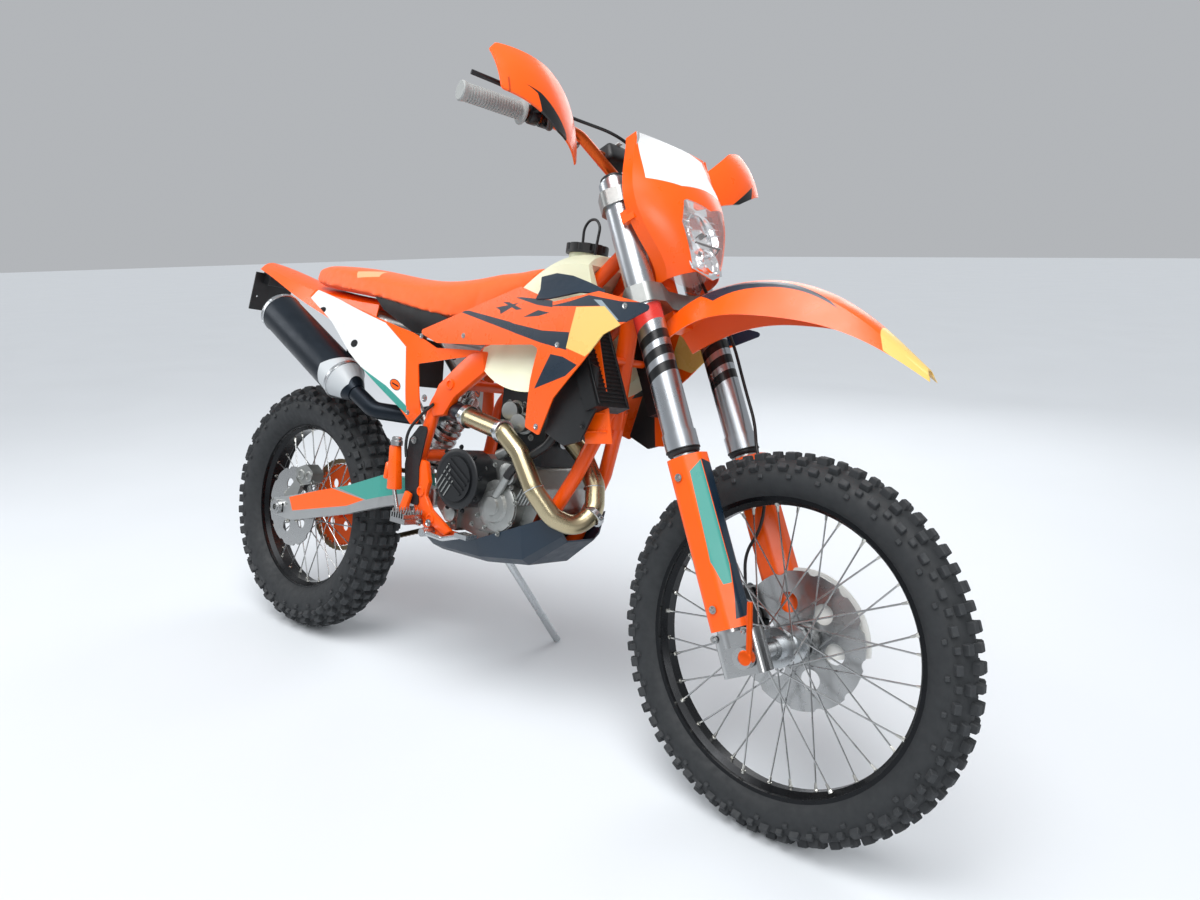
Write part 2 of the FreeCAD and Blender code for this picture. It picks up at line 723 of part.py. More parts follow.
def head_tube():
    low = V(-axle_offset, 0, lower_clamp + lower_clamp_height + fit_gap)
    high = V(-axle_offset, 0, upper_clamp - fit_gap)
    tube = hollow(low, high, head_tube_radius, stem_radius + running_gap)
    tube.Placement = fork_frame.multiply(tube.Placement)
    return tube


def spar_points(s):
    """one side's main tube, from the head down behind the engine and forward under it"""
    high = fork_frame.multVec(V(-axle_offset, 0, upper_clamp - 34))
    return [high + V(-14, s * 12, 0), V(950, s * 56, 950), V(735, s * 80, 834),
            V(592, s * 102, 700), V(560, s * 110, 560), V(582, s * 112, 440),
            V(640, s * 106, 396), V(770, s * 80, 388), V(905, s * 70, 412),
            V(990, s * 48, 585), V(1036, s * 18, 730)]


def main_frame():
    low = fork_frame.multVec(V(-axle_offset, 0, lower_clamp + 70))
    tubes = []
    for s in (1, -1):
        tubes.append(pipe(spar_points(s), spar_radius, 70))
        tubes.append(pipe([low + V(-10, s * 8, 30), V(960, s * 36, 880), V(800, s * 70, 836)],
                          rail_radius, 60))
        tubes.append(rod(V(600, s * 112, 422), V(600, s * peg_seat, 422), 11))
    tubes.append(pipe([low + V(-10, 0, 24), V(1046, 0, 925), V(1036, 0, 690)], spar_radius + 4, 60))
    tubes.append(rod(V(562, -100, pivot.z + 100), V(562, 100, pivot.z + 100), rail_radius))
    tubes.append(rod(V(700, -80, 388), V(700, 80, 388), rail_radius))
    tubes.append(rod(V(735, -80, 834), V(735, 80, 834), rail_radius))
    tubes.append(rod(V(636, -94, 741), V(636, 94, 741), rail_radius - 2))
    x, z = shock_top.x, shock_top.z
    tubes += shock_ears(x, z, [(x - 14, z - 10), (x - 14, z + 10), (x + 8, z + 16), (640, 750), (636, 731)])
    tubes.append(pin(pivot.x, pivot.z, -108, 108, pivot_bolt))
    mid = fork_frame.multVec(V(rad_back + rad_depth / 2, 0, (rad_low + rad_top) / 2))
    tubes.append(pin(mid.x, mid.z, fit_gap - rad_inner, rad_inner - fit_gap, 8))
    axis = stand_axis()
    away = V(30, -16, 40)
    away = (away - axis * away.dot(axis)).normalize()
    foot = stand_pivot - axis * (stand_hub + 9)
    tubes.append(rod(foot - axis * 7, stand_pivot - axis * (stand_hub + 2 * fit_gap), 15))
    tubes.append(rod(foot - axis * 7, stand_pivot + axis * (stand_hub + 3), stand_bolt))
    elbow = foot + away * 34
    tubes += [rod(foot, elbow, 8.4), Part.makeSphere(10, elbow), rod(elbow, V(608, 109, 421), 8)]
    frame = fused(tubes)
    bore = rod(fork_frame.multVec(V(-axle_offset, 0, lower_clamp)),
               fork_frame.multVec(V(-axle_offset, 0, upper_clamp + 60)), head_tube_radius - 1)
    return frame.cut(bore).fuse(head_tube())


def stay(s, grow):
    """lower rail of the subframe"""
    points = [V(556, s * 95, 636), V(430, s * 92, 760), V(330, s * 72, 872)]
    return pipe(points, rail_radius - 4 + grow, 60)


def rear_subframe():
    rails = []
    for s in (1, -1):
        rails.append(pipe([V(716, s * 58, 836), V(560, s * 62, 846), V(330, s * 66, 872),
                           V(60, s * 54, 906)], rail_radius - 1, 80))
        rails.append(stay(s, 0))
    rails.append(rod(V(330, -66, 872), V(330, 66, 872), rail_radius - 3))
    rails.append(rod(V(70, -54, 905), V(70, 54, 905), rail_radius - 3))
    return fused(rails)


def swing_arm():
    inner = arm_outer - arm_wall
    arms = []
    for s in (1, -1):
        crest = 480 if s > 0 else 500
        outline = [(-34, 318), (-34, 362), (30, 376), (300, 450), (440, crest), (500, crest),
                   (596, 488), (596, 446), (470, 430), (300, 376), (60, 316)]
        plan = [(-34, s * arm_outer), (430, s * arm_outer), (520, s * 88), (596, s * 86),
                (596, s * 60), (500, s * 60), (430, s * inner), (-34, s * inner)]
        arms.append(plate(outline, -200, 200, 14).common(cross_plate(plan, 0, 600, 20)))
    cross = plate([(424, 446), (424, 474), (596, 478), (596, 452), (500, 440)], -70, 70, 8)
    x, z = shock_low.x, shock_low.z
    ears = shock_ears(x, z, [(x - 22, 462), (x - 13, z + 8), (x - 4, z + 14), (x + 4, z + 14), (x + 13, z + 8),
                             (x + 26, 466)])
    body = fused(arms + [cross] + ears)
    body = body.cut(pin(pivot.x, pivot.z, -200, 200, pivot_bolt + fit_gap / 3))
    for s in (1, -1):
        slot = plate([(-16, 342 - axle_radius - fit_gap), (-16, 342 + axle_radius + fit_gap),
                      (22, 342 + axle_radius + fit_gap), (22, 342 - axle_radius - fit_gap)],
                     s * (inner - 5), s * (arm_outer + 5))
        body = body.cut(slot)
    return body


def rear_axle():
    shaft = pin(0, rear_radius, -arm_outer - 14, arm_outer + 14, axle_radius)
    nuts = [pin(0, rear_radius, s * (arm_outer + fit_gap), s * (arm_outer + 12), axle_radius + 7)
            for s in (1, -1)]
    body = fused([shaft] + nuts)
    return body.cut(pin(0, rear_radius, -300, 300, axle_bore))


def crankcase():
    outline = [(606, 452), (640, 424), (760, 408), (866, 424), (904, 450), (926, 500), (926, 545),
               (905, deck), (690, deck), (640, 576), (606, 520)]
    core = plate(outline, -82, 84, 14)
    boss_r = pin(826, 492, -104, -80, 58)
    boss_l = pin(826, 484, 82, 96, 60)
    lugs = [box(750, 790, -86, 86, 398, 424), box(668, 690, -92, 92, 410, 470)]
    body = fused([core, boss_r, boss_l] + lugs)
    body = body.cut(fused(both(pipe(spar_points(1)[5:10], spar_radius + fit_gap, 70))))
    body = body.cut(pin(clutch.x, clutch.z, -200, -82, clutch_radius + fit_gap))
    return body.cut(box(500, 690, chain_y - chain_half - hinge_gap, 200, 380, 560))


def cylinder_and_head():
    barrel = box(774, 898, -60, 60, deck, 640)
    head = box(766, 908, -66, 66, 640, 780)
    cover = box(776, 902, -54, 54, 780, 814)
    start, after = header_points()[:2]
    back = (start - after).normalize()
    port = rod(start + back * fit_gap, start + back * 30, header_radius + 6)
    body = fused([barrel, head, port])
    return body, cover


def header_points():
    return [V(920, -4, 656), V(966, -4, 624), V(1012, -8, 566), V(1030, -22, 512),
            V(1012, -58, 478), V(982, -100, 496), V(948, -128, 548), V(900, -132, 618),
            V(842, -130, 656), V(704, -106, 673)]


def exhaust_header():
    return pipe(header_points(), header_radius, 46, header_radius - header_wall)


def silencer():
    a, b = V(250, -120, 712), V(-70, -124, 872)
    can = rod(a, b, can_radius)
    cap = Part.makeCone(can_radius, can_radius - 16, 22, b, b - a)
    front = Part.makeCone(can_radius, header_radius + 2, 60, a, a - b)
    before, end = header_points()[-2:]
    onward = (end - before).normalize()
    mid = pipe([end + onward * fit_gap, end + onward * 42, V(600, -64, 676), V(470, -60, 648), V(370, -112, 650),
                a + (a - b).normalize() * 60], header_radius, 60)
    bore = rod(b + (a - b).normalize() * 60, b + (b - a).normalize() * 40, 22)
    tab = box(186, 216, -79, -73.3, 760, 886)
    return fused([can, cap, front, mid, tab]).cut(bore)


def tank_skin(grow):
    rows = ((722, 110, 800, 900, 930), (800, 122, 756, 968, 1000), (880, 132, 745, 1010, 1046),
            (960, 140, 760, 1020, 1050), (1042, 118, 830, 1000, 1034))
    return loft([bow(x, w + grow, z0 - grow, z1 + grow, z2 + grow, 0.62) for x, w, z0, z1, z2 in rows])


def fuel_tank():
    body = tank_skin(0)
    tunnel = plate([(600, 500), (600, 850), (735, 864), (905, 956), (962, 990), (1020, 1060),
                    (1200, 1200), (1200, 500)], -97, 97)
    tunnel = tunnel.common(cross_plate([(600, -97), (760, -97), (860, -84), (950, -74), (1200, -74),
                                        (1200, 74), (950, 74), (860, 84), (760, 97), (600, 97)],
                                       400, 1300))
    spars = fused(both(pipe(spar_points(1)[:4], spar_radius + fit_gap, 70)))
    room = fused([box(-axle_offset - clamp_swing() - hinge_gap, 300, -300, 300, 0, 1300),
                  box(rad_back - 6, 300, -300, 300, 0, rad_top + 8)])
    room.Placement = fork_frame
    neck = Part.makeCylinder(38, 30, V(905, 0, cap_seat - 30))
    return fused([body.cut(tunnel).cut(room).cut(spars), neck])


def seat():
    body = loft([bow(-18, 66, 966, 1000, 1019), bow(200, 102, 940, 985, 1009),
                 bow(410, 104, 912, 960, 987), bow(562, 92, 890, 960, 988),
                 bow(680, 74, 900, 975, 1008), bow(800, 50, 1004, 1012, 1030)])
    buffer = Part.makeCylinder(14, 60, V(330, 0, 872 + rail_radius - 3 + fit_gap))
    return fused([body, buffer])


def fuel_cap():
    """round cap with finger grooves round its edge"""
    body = Part.makeCylinder(46, cap_top - cap_seat, V(905, 0, cap_seat))
    grooves = []
    for k in range(10):
        a = math.radians(36 * k)
        grooves.append(Part.makeCylinder(7, 40, V(905 + 50 * math.cos(a), 50 * math.sin(a), cap_seat + 5)))
    return body.cut(Part.makeCompound(grooves))


def breather_hose():
    """loop from the cap over and down to the tank"""
    points = [V(893, -4, cap_top + fit_gap), V(893, -5, 1109.8), V(909.7, -9, 1126.5), V(933.3, -14, 1126.5),
              V(950, -19, 1109.8), V(951, -25, 1072), V(950, -27, 1040)]
    return cord(points, breather_radius).cut(tank_skin(fit_gap))


def frame_guards():
    """plates over the frame's sides beside the swing arm's pivot"""
    outline = [(572, 636), (540, 600), (533, 540), (546, 470), (560, 452), (598, 452), (590, 480),
               (584, 540), (594, 600), (600, 636)]
    first = 112 + spar_radius + fit_gap
    return both(plate(outline, first, first + 3, 8))


def clutch_cover():
    """round cover with a raised middle and ribs across it"""
    body = [pin(clutch.x, clutch.z, clutch.y, -82, clutch_radius),
            pin(clutch.x, clutch.z, clutch.y - 5, clutch.y + 1, clutch_radius - 14)]
    for k in range(-1, 3):
        rib = box(-38, 38, clutch.y - 8, clutch.y - 4, 13 * k - 2, 13 * k + 2)
        rib.rotate(V(0, 0, 0), Y_AXIS, 32)
        rib.translate(V(clutch.x, 0, clutch.z))
        body.append(rib)
    return fused(body)


def shroud_width(x, z):
    return 118 + max(0.0, x - 480) * 0.11 - max(0.0, 800 - z) * 0.12


def side_width(x, z):
    spans = ((130, 184), (250, 176), (400, 152), (520, 122), (900, 118))
    if x <= spans[0][0]:
        w = spans[0][1]
    else:
        w = spans[-1][1]
        for (x0, w0), (x1, w1) in zip(spans, spans[1:]):
            if x0 < x <= x1:
                w = w0 + (w1 - w0) * (x - x0) / (x1 - x0)
    return w - max(0.0, 700 - z) * 0.1


def radiator_shroud():
    outline = [(520, 852), (668, 896), (877, 959), (985, 930), (1108, 952), (1252, 927), (1132, 872),
               (1085, 818), (1009, 742), (967, 663), (924, 675), (937, 770), (953, 836), (934, 843),
               (757, 833), (599, 829)]
    panel = skin(outline, shroud_width, (480, 1280), (640, 980), panel_wall)
    front = fork_frame.multVec(V(rad_back + rad_depth / 2, 0, (rad_low + rad_top) / 2 + 10))
    pins = [pin(front.x, front.z, -rad_outer - fit_gap, 2 - shroud_width(front.x, front.z), 8),
            pin(800, 872, -60, 2 - shroud_width(800, 872), 8).cut(tank_skin(fit_gap))]
    return fused([panel] + pins)


def side_panel():
    outline = [(168, 912), (189, 931), (466, 857), (506, 848), (590, 818), (722, 822), (731, 812), (533, 777),
               (549, 689), (554, 662), (541, 638), (520, 633), (486, 668), (319, 785), (247, 854)]
    panel = skin(outline, side_width, (130, 760), (620, 950), panel_wall, 5, 8)
    pins = [pin(x, z, -reach, 2 - side_width(x, z), 7).cut(stay(-1, fit_gap))
            for x, z, reach in ((430, 760, 98), (340, 862, 78))]
    return fused([panel] + pins)


def radiators():
    core = box(rad_back, rad_back + rad_depth, rad_inner, rad_outer, rad_low, rad_top)
    core.Placement = fork_frame
    return both(core)


fender_rows = ((340, 98, 790, 910, 926), (300, 96, 800, 912, 928), (160, 92, 850, 922, 938),
               (-20, 84, 905, 944, 960), (-200, 70, 965, 984, 1000), (-336, 44, 1000, 1010, 1026),
               (-370, 36, 1006, 1014, 1030))


def rear_fender():
    body, outer = shell(fender_rows, 0.8, panel_wall, -336, 300)
    boss = Part.makeCylinder(10, 80, V(70, 0, 905 + rail_radius - 3 + fit_gap)).common(outer)
    return fused([body, boss])


def fender_room(gap):
    """the room under the rear fender, a gap clear of its inside"""
    return loft([under_bow(*row, 0.8, panel_wall + gap) for row in fender_rows])


def tail_lamp_unit():
    """lamp housing under the fender's tail and the plate holder with its two holes"""
    lamp = plate([(-262, 1100), (-322, 1100), (-334, 960), (-300, 952)], -34, 34, 6)
    lamp = lamp.common(fender_room(fit_gap))
    face = (V(-352, 0, 880) - V(-330, 0, 992)).normalize()
    out = V(face.z, 0, -face.x)
    holder = plate([(-327, 990), (-352, 880), (-348, 879), (-323, 989)], -62, 62)
    holes = [rod(V(-346, s * 45, 920) - out * 20, V(-346, s * 45, 920) + out * 20, plate_hole)
             for s in (1, -1)]
    return fused([lamp, holder]).cut(Part.makeCompound(holes))


def skid_plate():
    def section(x, w, top, low, inset):
        half = [(w - inset, top), (w * 0.84 - inset, low + 14 + inset), (w * 0.6, low + inset)]
        if inset:
            half.insert(0, (w - inset, top + 80))
        return poly_wire([V(x, y, z) for y, z in half + [(-y, z) for y, z in reversed(half)]])
    rows = ((640, 132, 388, 356), (780, 116, 410, 356), (900, 104, 462, 374), (984, 74, 504, 440))
    outer = loft([section(*row, 0) for row in rows], True)
    rows = ((600, 136, 382, 356),) + rows[1:-1] + ((1020, 61, 522, 468),)
    inner = loft([section(*row, skid_wall) for row in rows], True)
    pipe_room = pipe(header_points(), header_radius + hinge_gap, 46)
    pad = box(684, 716, -40, 40, 358, 388 - rail_radius - fit_gap)
    body = fused([outer.cut(inner).cut(pipe_room), pad])
    return body.cut(box(600, 1000, -200, 200, 300, skid_floor))


def footpegs():
    pegs = []
    for s in (1, -1):
        first = peg_seat + fit_gap
        base = box(572, 624, first + 4, first + 58, 414, 426)
        comb = [box(572 + 8.6 * k, 576 + 8.6 * k, first + 4, first + 58, 426, 438) for k in range(6)]
        arm = box(588, 612, first, first + 6, 408, 436)
        peg = fused([base, arm] + comb)
        pegs.append(peg if s > 0 else mirrored(peg))
    return pegs


def foot_controls():
    brake = pipe([V(644, -146, 400), V(700, -140, 396), V(776, -150, 418)], 6, 30)
    tip = box(766, 804, -166, -134, 414, 424)
    pivot_boss = pin(644, 400, -154, -122, 10)
    shift = pipe([V(714, 118, 440), V(752, 140, 442), V(826, 146, 456)], 5.5, 20)
    toe = pin(832, 456, 136, 168, 9)
    shaft = pin(714, 440, 84.3, 124, 8)
    return fused([brake, tip, pivot_boss]), fused([shift, toe, shaft])


def chain_runs():
    """the pitch line as two arcs (centre, radius, from, to) joined by straight runs"""
    big = chain_pitch / 2 / math.sin(math.pi / rear_teeth)
    small = chain_pitch / 2 / math.sin(math.pi / front_teeth)
    a, b = V(0, 0, rear_radius), output_shaft
    span = b - a
    tilt = math.atan2(span.z, span.x)
    wrap = math.acos((big - small) / span.Length)
    return (a, big, tilt + wrap, tilt - wrap + 2 * math.pi), (b, small, tilt - wrap, tilt + wrap)


def on_arc(arc, angle, offset):
    centre, r, _, _ = arc
    return V(centre.x + (r + offset) * math.cos(angle), 0, centre.z + (r + offset) * math.sin(angle))


def chain_outline():
    """outer edge of the links, waisted between the pins"""
    rear, front = chain_runs()
    straight = (on_arc(rear, rear[3], 0) - on_arc(front, front[2], 0)).Length
    arcs = [arc[1] * (arc[3] - arc[2]) for arc in (rear, front)]
    total = sum(arcs) + 2 * straight
    points = []
    for i in range(2 * chain_links):
        s = total * i / (2 * chain_links)
        offset = 7.2 if i % 2 == 0 else 5.4
        for arc, nxt, length in ((rear, front, arcs[0]), (front, rear, arcs[1])):
            if 0 <= s < length:
                points.append(on_arc(arc, arc[2] + s / arc[1], offset))
            elif length <= s < length + straight:
                p, q = on_arc(arc, arc[3], offset), on_arc(nxt, nxt[2], offset)
                points.append(p + (q - p) * ((s - length) / straight))
            s -= length + straight
    return points


def drive_chain():
    """closed run of links, and the front sprocket inside it on the output shaft"""
    inner = []
    for arc, steps in zip(chain_runs(), (15, 10)):
        inner += [on_arc(arc, arc[2] + (arc[3] - arc[2]) * k / steps, -5.1) for k in range(steps + 1)]
    band = Part.Face(poly_wire(chain_outline())).cut(Part.Face(poly_wire(inner)))
    band = band.extrude(V(0, 2 * chain_half, 0))
    band.translate(V(0, chain_y - chain_half, 0))
    gear = toothed(front_teeth, chain_y)
    gear.translate(output_shaft)
    floor = chain_y - chain_half - hinge_gap
    shaft = pin(output_shaft.x, output_shaft.z, floor + fit_gap, chain_y + 9, 12)
    return [band, fused([gear, shaft])]


def rear_caliper():
    """over the disc above the right arm, on a bracket that hangs on the axle"""
    def about_axle(points):
        return [(x, rear_radius + z) for x, z in points]
    body = plate(about_axle([(34, 62), (96, 78), (104, 110), (70, 128), (20, 110)]),
                 rear_disc_y - 14, rear_disc_y + 20, 10)
    slot = pin(0, rear_radius, rear_disc_y - pad_gap, rear_disc_y + pad_gap, rear_disc + 5)
    bracket = plate(about_axle([(-18, -16), (22, -16), (60, 68), (34, 82), (-18, 28)]),
                    fit_gap - arm_outer + arm_wall, rear_disc_y - 8, 8)
    hole = pin(0, rear_radius, -200, 0, axle_radius + fit_gap)
    return fused([body, bracket]).cut(slot).cut(hole)


def shock_absorber():
    run = (shock_top - shock_low).normalize()
    span = (shock_top - shock_low).Length
    body = rod(shock_low + run * 26, shock_top - run * 26, 9)
    eyes = [pin(p.x, p.z, -eye_half, eye_half, 14) for p in (shock_low, shock_top)]
    necks = [rod(shock_low, shock_low + run * 27, 9), rod(shock_top - run * 27, shock_top, 12)]
    shaft = rod(shock_low + run * (span * 0.45), shock_top - run * 24, 23)
    profile = [(24, 42)]
    step = (span - 88) / spring_turns
    for k in range(spring_turns):
        a = 42 + k * step
        profile += [(29, a), (36, a + step * 0.25), (36, a + step * 0.6), (29, a + step * 0.85)]
    profile += [(29, span - 46), (24, span - 46)]
    spring = Part.Face(poly_wire([V(r, 0, a) for r, a in profile])).revolve(V(0, 0, 0), V(0, 0, 1), 360)
    spring.Placement = FreeCAD.Placement(shock_low, FreeCAD.Rotation(V(0, 0, 1), run))
    seats = [rod(shock_low + run * 34, shock_low + run * 42, 38),
             rod(shock_top - run * 46, shock_top - run * 38, 38)]
    sleeve = rod(shock_low + run * 34, shock_top - run * 38, 26)
    whole = fused([body, shaft, sleeve] + eyes + necks + seats + [spring])
    bolts = [pin(p.x, p.z, -40, 40, 5 + fit_gap / 3) for p in (shock_low, shock_top)]
    return whole.cut(Part.makeCompound(bolts))


def shock_ears(x, z, points):
    """pair of lugs that hold one eye of the shock"""
    ears = []
    for s in (1, -1):
        inner, outer = s * (eye_half + fit_gap), s * (eye_half + 7)
        ears.append(plate(points, min(inner, outer), max(inner, outer), 5))
    return ears + [pin(x, z, -eye_half - 7, eye_half + 7, 5)]


def airbox():
    lug = Part.makeCylinder(12, 25, V(330, 0, 872 - rail_radius + 3 - fit_gap - 25))
    body = loft([bow(232, 58, 770, 845, 862, 0.9), bow(330, 56, 740, 835, 852, 0.9),
                 bow(420, 56, 720, 820, 838, 0.9)], True)
    return fused([body, lug])


def side_stand():
    a, b = stand_pivot, stand_foot
    along = (b - a).normalize()
    leg = rod(a, b, stand_radius)
    head = rod(a - stand_axis() * stand_hub, a + stand_axis() * stand_hub, 15)
    return leg, head


def stand_axis():
    down = (stand_foot - stand_pivot).normalize()
    back = V(-0.985, 0.10, 0.06).normalize()
    return down.cross(back).normalize()


def stand_range():
    down = (stand_foot - stand_pivot).normalize()
    back = V(-0.985, 0.10, 0.06).normalize()
    return math.degrees(down.getAngle(back))


def stand_piece():
    leg, head = side_stand()
    bore = rod(stand_pivot - stand_axis() * 20, stand_pivot + stand_axis() * 20, stand_bolt + running_gap)
    return fused([leg, head]).cut(bore)


def fork_pieces():
    """every steered piece: name to shapes in the fork's frame"""
    mask_outer, mask_inner = headlamp_mask()
    named = {
        "triple_clamps": [triple_clamps()],
        "fork_outer_tubes": fork_outer_tubes(),
        "fork_inner_legs": fork_inner_legs(),
        "fork_guards": fork_guards(),
        "front_axle": [front_axle()],
        "front_brake_caliper": [front_brake()],
        "front_disc_guard": [disc_guard()],
        "front_fender": [front_fender()],
        "headlamp_mask": [fused([mask_outer.cut(mask_inner).cut(lamp_window(0))] + mask_tabs())],
        "headlamp_lens": [mask_outer.common(lamp_window(fit_gap)).cut(
            Part.makeBox(100, 400, 400, V(-100, -200, 600)))],
        "handlebar": [handlebar()],
        "bar_clamps": bar_clamps(),
        "hand_guard_mounts": hand_guard_mounts(),
        "hand_levers": hand_levers(),
        "grips": [grip(1), grip(-1)],
        "hand_guards": both(hand_guard()),
        "front_brake_hose": [front_brake_hose()],
    }
    return {name: [steered(s) for s in shapes] for name, shapes in named.items()}


def front_wheel():
    parts = {
        "front_tyre": [tyre(front_radius, front_width, front_bead, front_rim_width - 2 * rim_wall,
                            front_lug, -90 - head_angle)],
        "front_rim": [rim(front_bead, front_rim_width)],
        "front_spokes": spokes(front_bead, 26, 7),
        "front_hub": [hub(26, 44, 21)],
        "front_brake_disc": [disc(front_disc, 30, front_disc_y, 12, 44)],
    }
    return {name: [steered(s) for s in shapes] for name, shapes in parts.items()}


def rear_wheel():
    parts = {
        "rear_tyre": [tyre(rear_radius, rear_width, rear_bead, rear_rim_width - 2 * rim_wall, rear_lug, -90)],
        "rear_rim": [rim(rear_bead, rear_rim_width)],
        "rear_spokes": spokes(rear_bead, 30, 8),
        "rear_hub": [hub(30, 64, 26)],
        "rear_brake_disc": [disc(rear_disc, 34, rear_disc_y, 10, 64)],
        "rear_sprocket": [sprocket(rear_teeth, chain_y, 34, 64)],
    }
    return {name: [at(s, rear_axle_at) for s in shapes] for name, shapes in parts.items()}


def chassis():
    brake_pedal, shift_lever = foot_controls()
    barrel, cam_cover = cylinder_and_head()
    tank = fuel_tank()
    return {
        "main_frame": [main_frame()],
        "rear_subframe": [rear_subframe()],
        "swing_arm": [swing_arm()],
        "rear_axle": [rear_axle()],
        "crankcase": [crankcase()],
        "cylinder_and_head": [barrel],
        "cam_cover": [cam_cover],
        "clutch_cover": [clutch_cover()],
        "ignition_cover": [pin(826, 490, 96, 114, 50)],
        "exhaust_header": [exhaust_header()],
        "silencer": [silencer()],
        "fuel_tank": [tank],
        "fuel_cap": [fuel_cap()],
        "tank_breather_hose": [breather_hose()],
        "frame_guards": frame_guards(),
        "seat": [seat().cut(tank_skin(fit_gap * 2))],
        "airbox": [airbox()],
        "radiators": radiators(),
        "radiator_shroud_right": [radiator_shroud()],
        "radiator_shroud_left": [mirrored(radiator_shroud())],
        "side_panel_right": [side_panel()],
        "side_panel_left": [mirrored(side_panel())],
        "rear_fender": [rear_fender()],
        "tail_lamp_unit": [tail_lamp_unit()],
        "skid_plate": [skid_plate()],
        "footpegs": footpegs(),
        "brake_pedal": [brake_pedal],
        "shift_lever": [shift_lever],
        "drive_chain": drive_chain(),
        "rear_brake_caliper": [rear_caliper()],
        "shock_absorber": [shock_absorber()],
    }


def lowest(shapes):
    return min(p.z for s in shapes for p in s.tessellate(0.2)[0])


def parked(nodes):
    """leans the bike to its left, sets both tyres on the ground and centres its box on the origin"""
    lean = FreeCAD.Placement(V(0, 0, 0), FreeCAD.Rotation(V(1, 0, 0), -lean_angle))
    pitch = 0.0
    for _ in range(4):
        turn = FreeCAD.Placement(V(0, 0, 0), FreeCAD.Rotation(Y_AXIS, pitch))
        stance = lean.multiply(turn)
        heights = []
        for name in ("rear_tyre", "front_tyre"):
            placed = [s.transformed(stance.toMatrix()) for s in nodes[name]]
            heights.append(lowest(placed))
        pitch += math.degrees((heights[1] - heights[0]) / wheelbase)
    stance.Base = V(0, 0, -heights[0])
    corners = []
    for shapes in nodes.values():
        for s in shapes:
            corners += [stance.multVec(p) for p in s.tessellate(1.0)[0]]
    middle = V((min(p.x for p in corners) + max(p.x for p in corners)) / 2,
               (min(p.y for p in corners) + max(p.y for p in corners)) / 2, 0)
    stance.Base = stance.Base - middle
    return stance


def report(name, vector):
    print("%s %.7f %.7f %.7f" % (name, vector.x, vector.y, vector.z))


def main():
    nodes = {}
    nodes.update(chassis())
    nodes.update(fork_pieces())
    nodes.update(front_wheel())
    nodes.update(rear_wheel())
    nodes["side_stand"] = [stand_piece()]
    stance = parked(nodes)
    os.makedirs("parts", exist_ok=True)
    for name, shapes in nodes.items():
        placed = [s.transformed(stance.toMatrix()) for s in shapes]
        whole = placed[0] if len(placed) == 1 else Part.makeCompound(placed)
        whole.exportStep("parts/%s.step" % name)
        solids = len(whole.Solids)
        ok = whole.isValid()
        print("%-24s solids %d valid %s volume %.1f cm3" % (name, solids, ok, whole.Volume / 1000))
    turn = stance.Rotation
    report("shift", stance.Base)
    for name, v in (("x", V(1, 0, 0)), ("y", V(0, 1, 0)), ("z", V(0, 0, 1))):
        report("axis_" + name, turn.multVec(v))
    report("steer_axis", turn.multVec(steer_axis))
    report("steer_at", stance.multVec(steer_foot + steer_axis * (upper_clamp - 60)))
    report("front_axle_at", stance.multVec(steered_point(V(0, 0, 0))))
    report("front_axle_axis", turn.multVec(steered_direction(V(0, 1, 0))))
    report("rear_axle_at", stance.multVec(rear_axle_at))
    report("rear_axle_axis", turn.multVec(V(0, 1, 0)))
    report("stand_at", stance.multVec(stand_pivot))
    report("stand_axis", turn.multVec(stand_axis()))
    print("stand_range %.2f" % stand_range())


def steered_point(p):
    turn = FreeCAD.Rotation(steer_axis, rest_steer)
    return turn.multVec(fork_frame.multVec(p) - steer_foot) + steer_foot


def steered_direction(d):
    return FreeCAD.Rotation(steer_axis, rest_steer).multVec(fork_frame.Rotation.multVec(d))


main()
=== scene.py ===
# %% [markdown]
# # Enduro dirt bike, parked on its side stand
# The rigid frame of this object comes from CAD: every tube, casting and panel already has its real size.
# Blender adds what CAD leaves plain, which is finish, soft parts and small detail.
# So the script loads that model first, and every new piece is placed from its joints.

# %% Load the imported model
import json
import math
import bmesh
import bpy
from mathutils import Euler, Matrix, Vector
from mathutils.geometry import tessellate_polygon


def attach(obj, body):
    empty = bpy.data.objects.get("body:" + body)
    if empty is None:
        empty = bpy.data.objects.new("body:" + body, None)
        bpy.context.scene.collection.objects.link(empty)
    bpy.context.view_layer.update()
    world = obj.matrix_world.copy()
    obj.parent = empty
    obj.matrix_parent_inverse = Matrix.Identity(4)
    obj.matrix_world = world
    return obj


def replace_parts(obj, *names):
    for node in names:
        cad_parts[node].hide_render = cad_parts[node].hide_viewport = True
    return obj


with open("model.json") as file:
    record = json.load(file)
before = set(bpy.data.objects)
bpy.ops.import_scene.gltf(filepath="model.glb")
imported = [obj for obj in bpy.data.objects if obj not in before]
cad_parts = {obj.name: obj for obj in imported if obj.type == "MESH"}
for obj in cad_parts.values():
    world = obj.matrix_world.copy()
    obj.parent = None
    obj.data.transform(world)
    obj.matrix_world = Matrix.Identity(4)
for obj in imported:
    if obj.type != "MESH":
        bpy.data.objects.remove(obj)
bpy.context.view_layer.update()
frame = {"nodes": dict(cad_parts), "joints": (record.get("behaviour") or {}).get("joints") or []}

nodes = frame["nodes"]
print("CAD pieces:", len(nodes))

# %% [markdown]
# ## Two sets of axes
# The bike leans on its stand, and its bars are turned a little, so nothing on it is square to the world.
# A maker would measure it upright instead: forward, left and up from the ground under the rear axle.
# The wheel and steering joints say where those axes lie now, so both sets are worked out from them.
# The second set belongs to the fork: forward, left and up along its legs, from the front axle.

# %% Axes of the bike and of its fork
MM = 0.001
joints = {joint["name"]: joint for joint in frame["joints"]}
head_angle = math.radians(26.1)     # steering line from the vertical
rear_radius = 342.0                 # rear tyre, so the ground lies this far under its axle


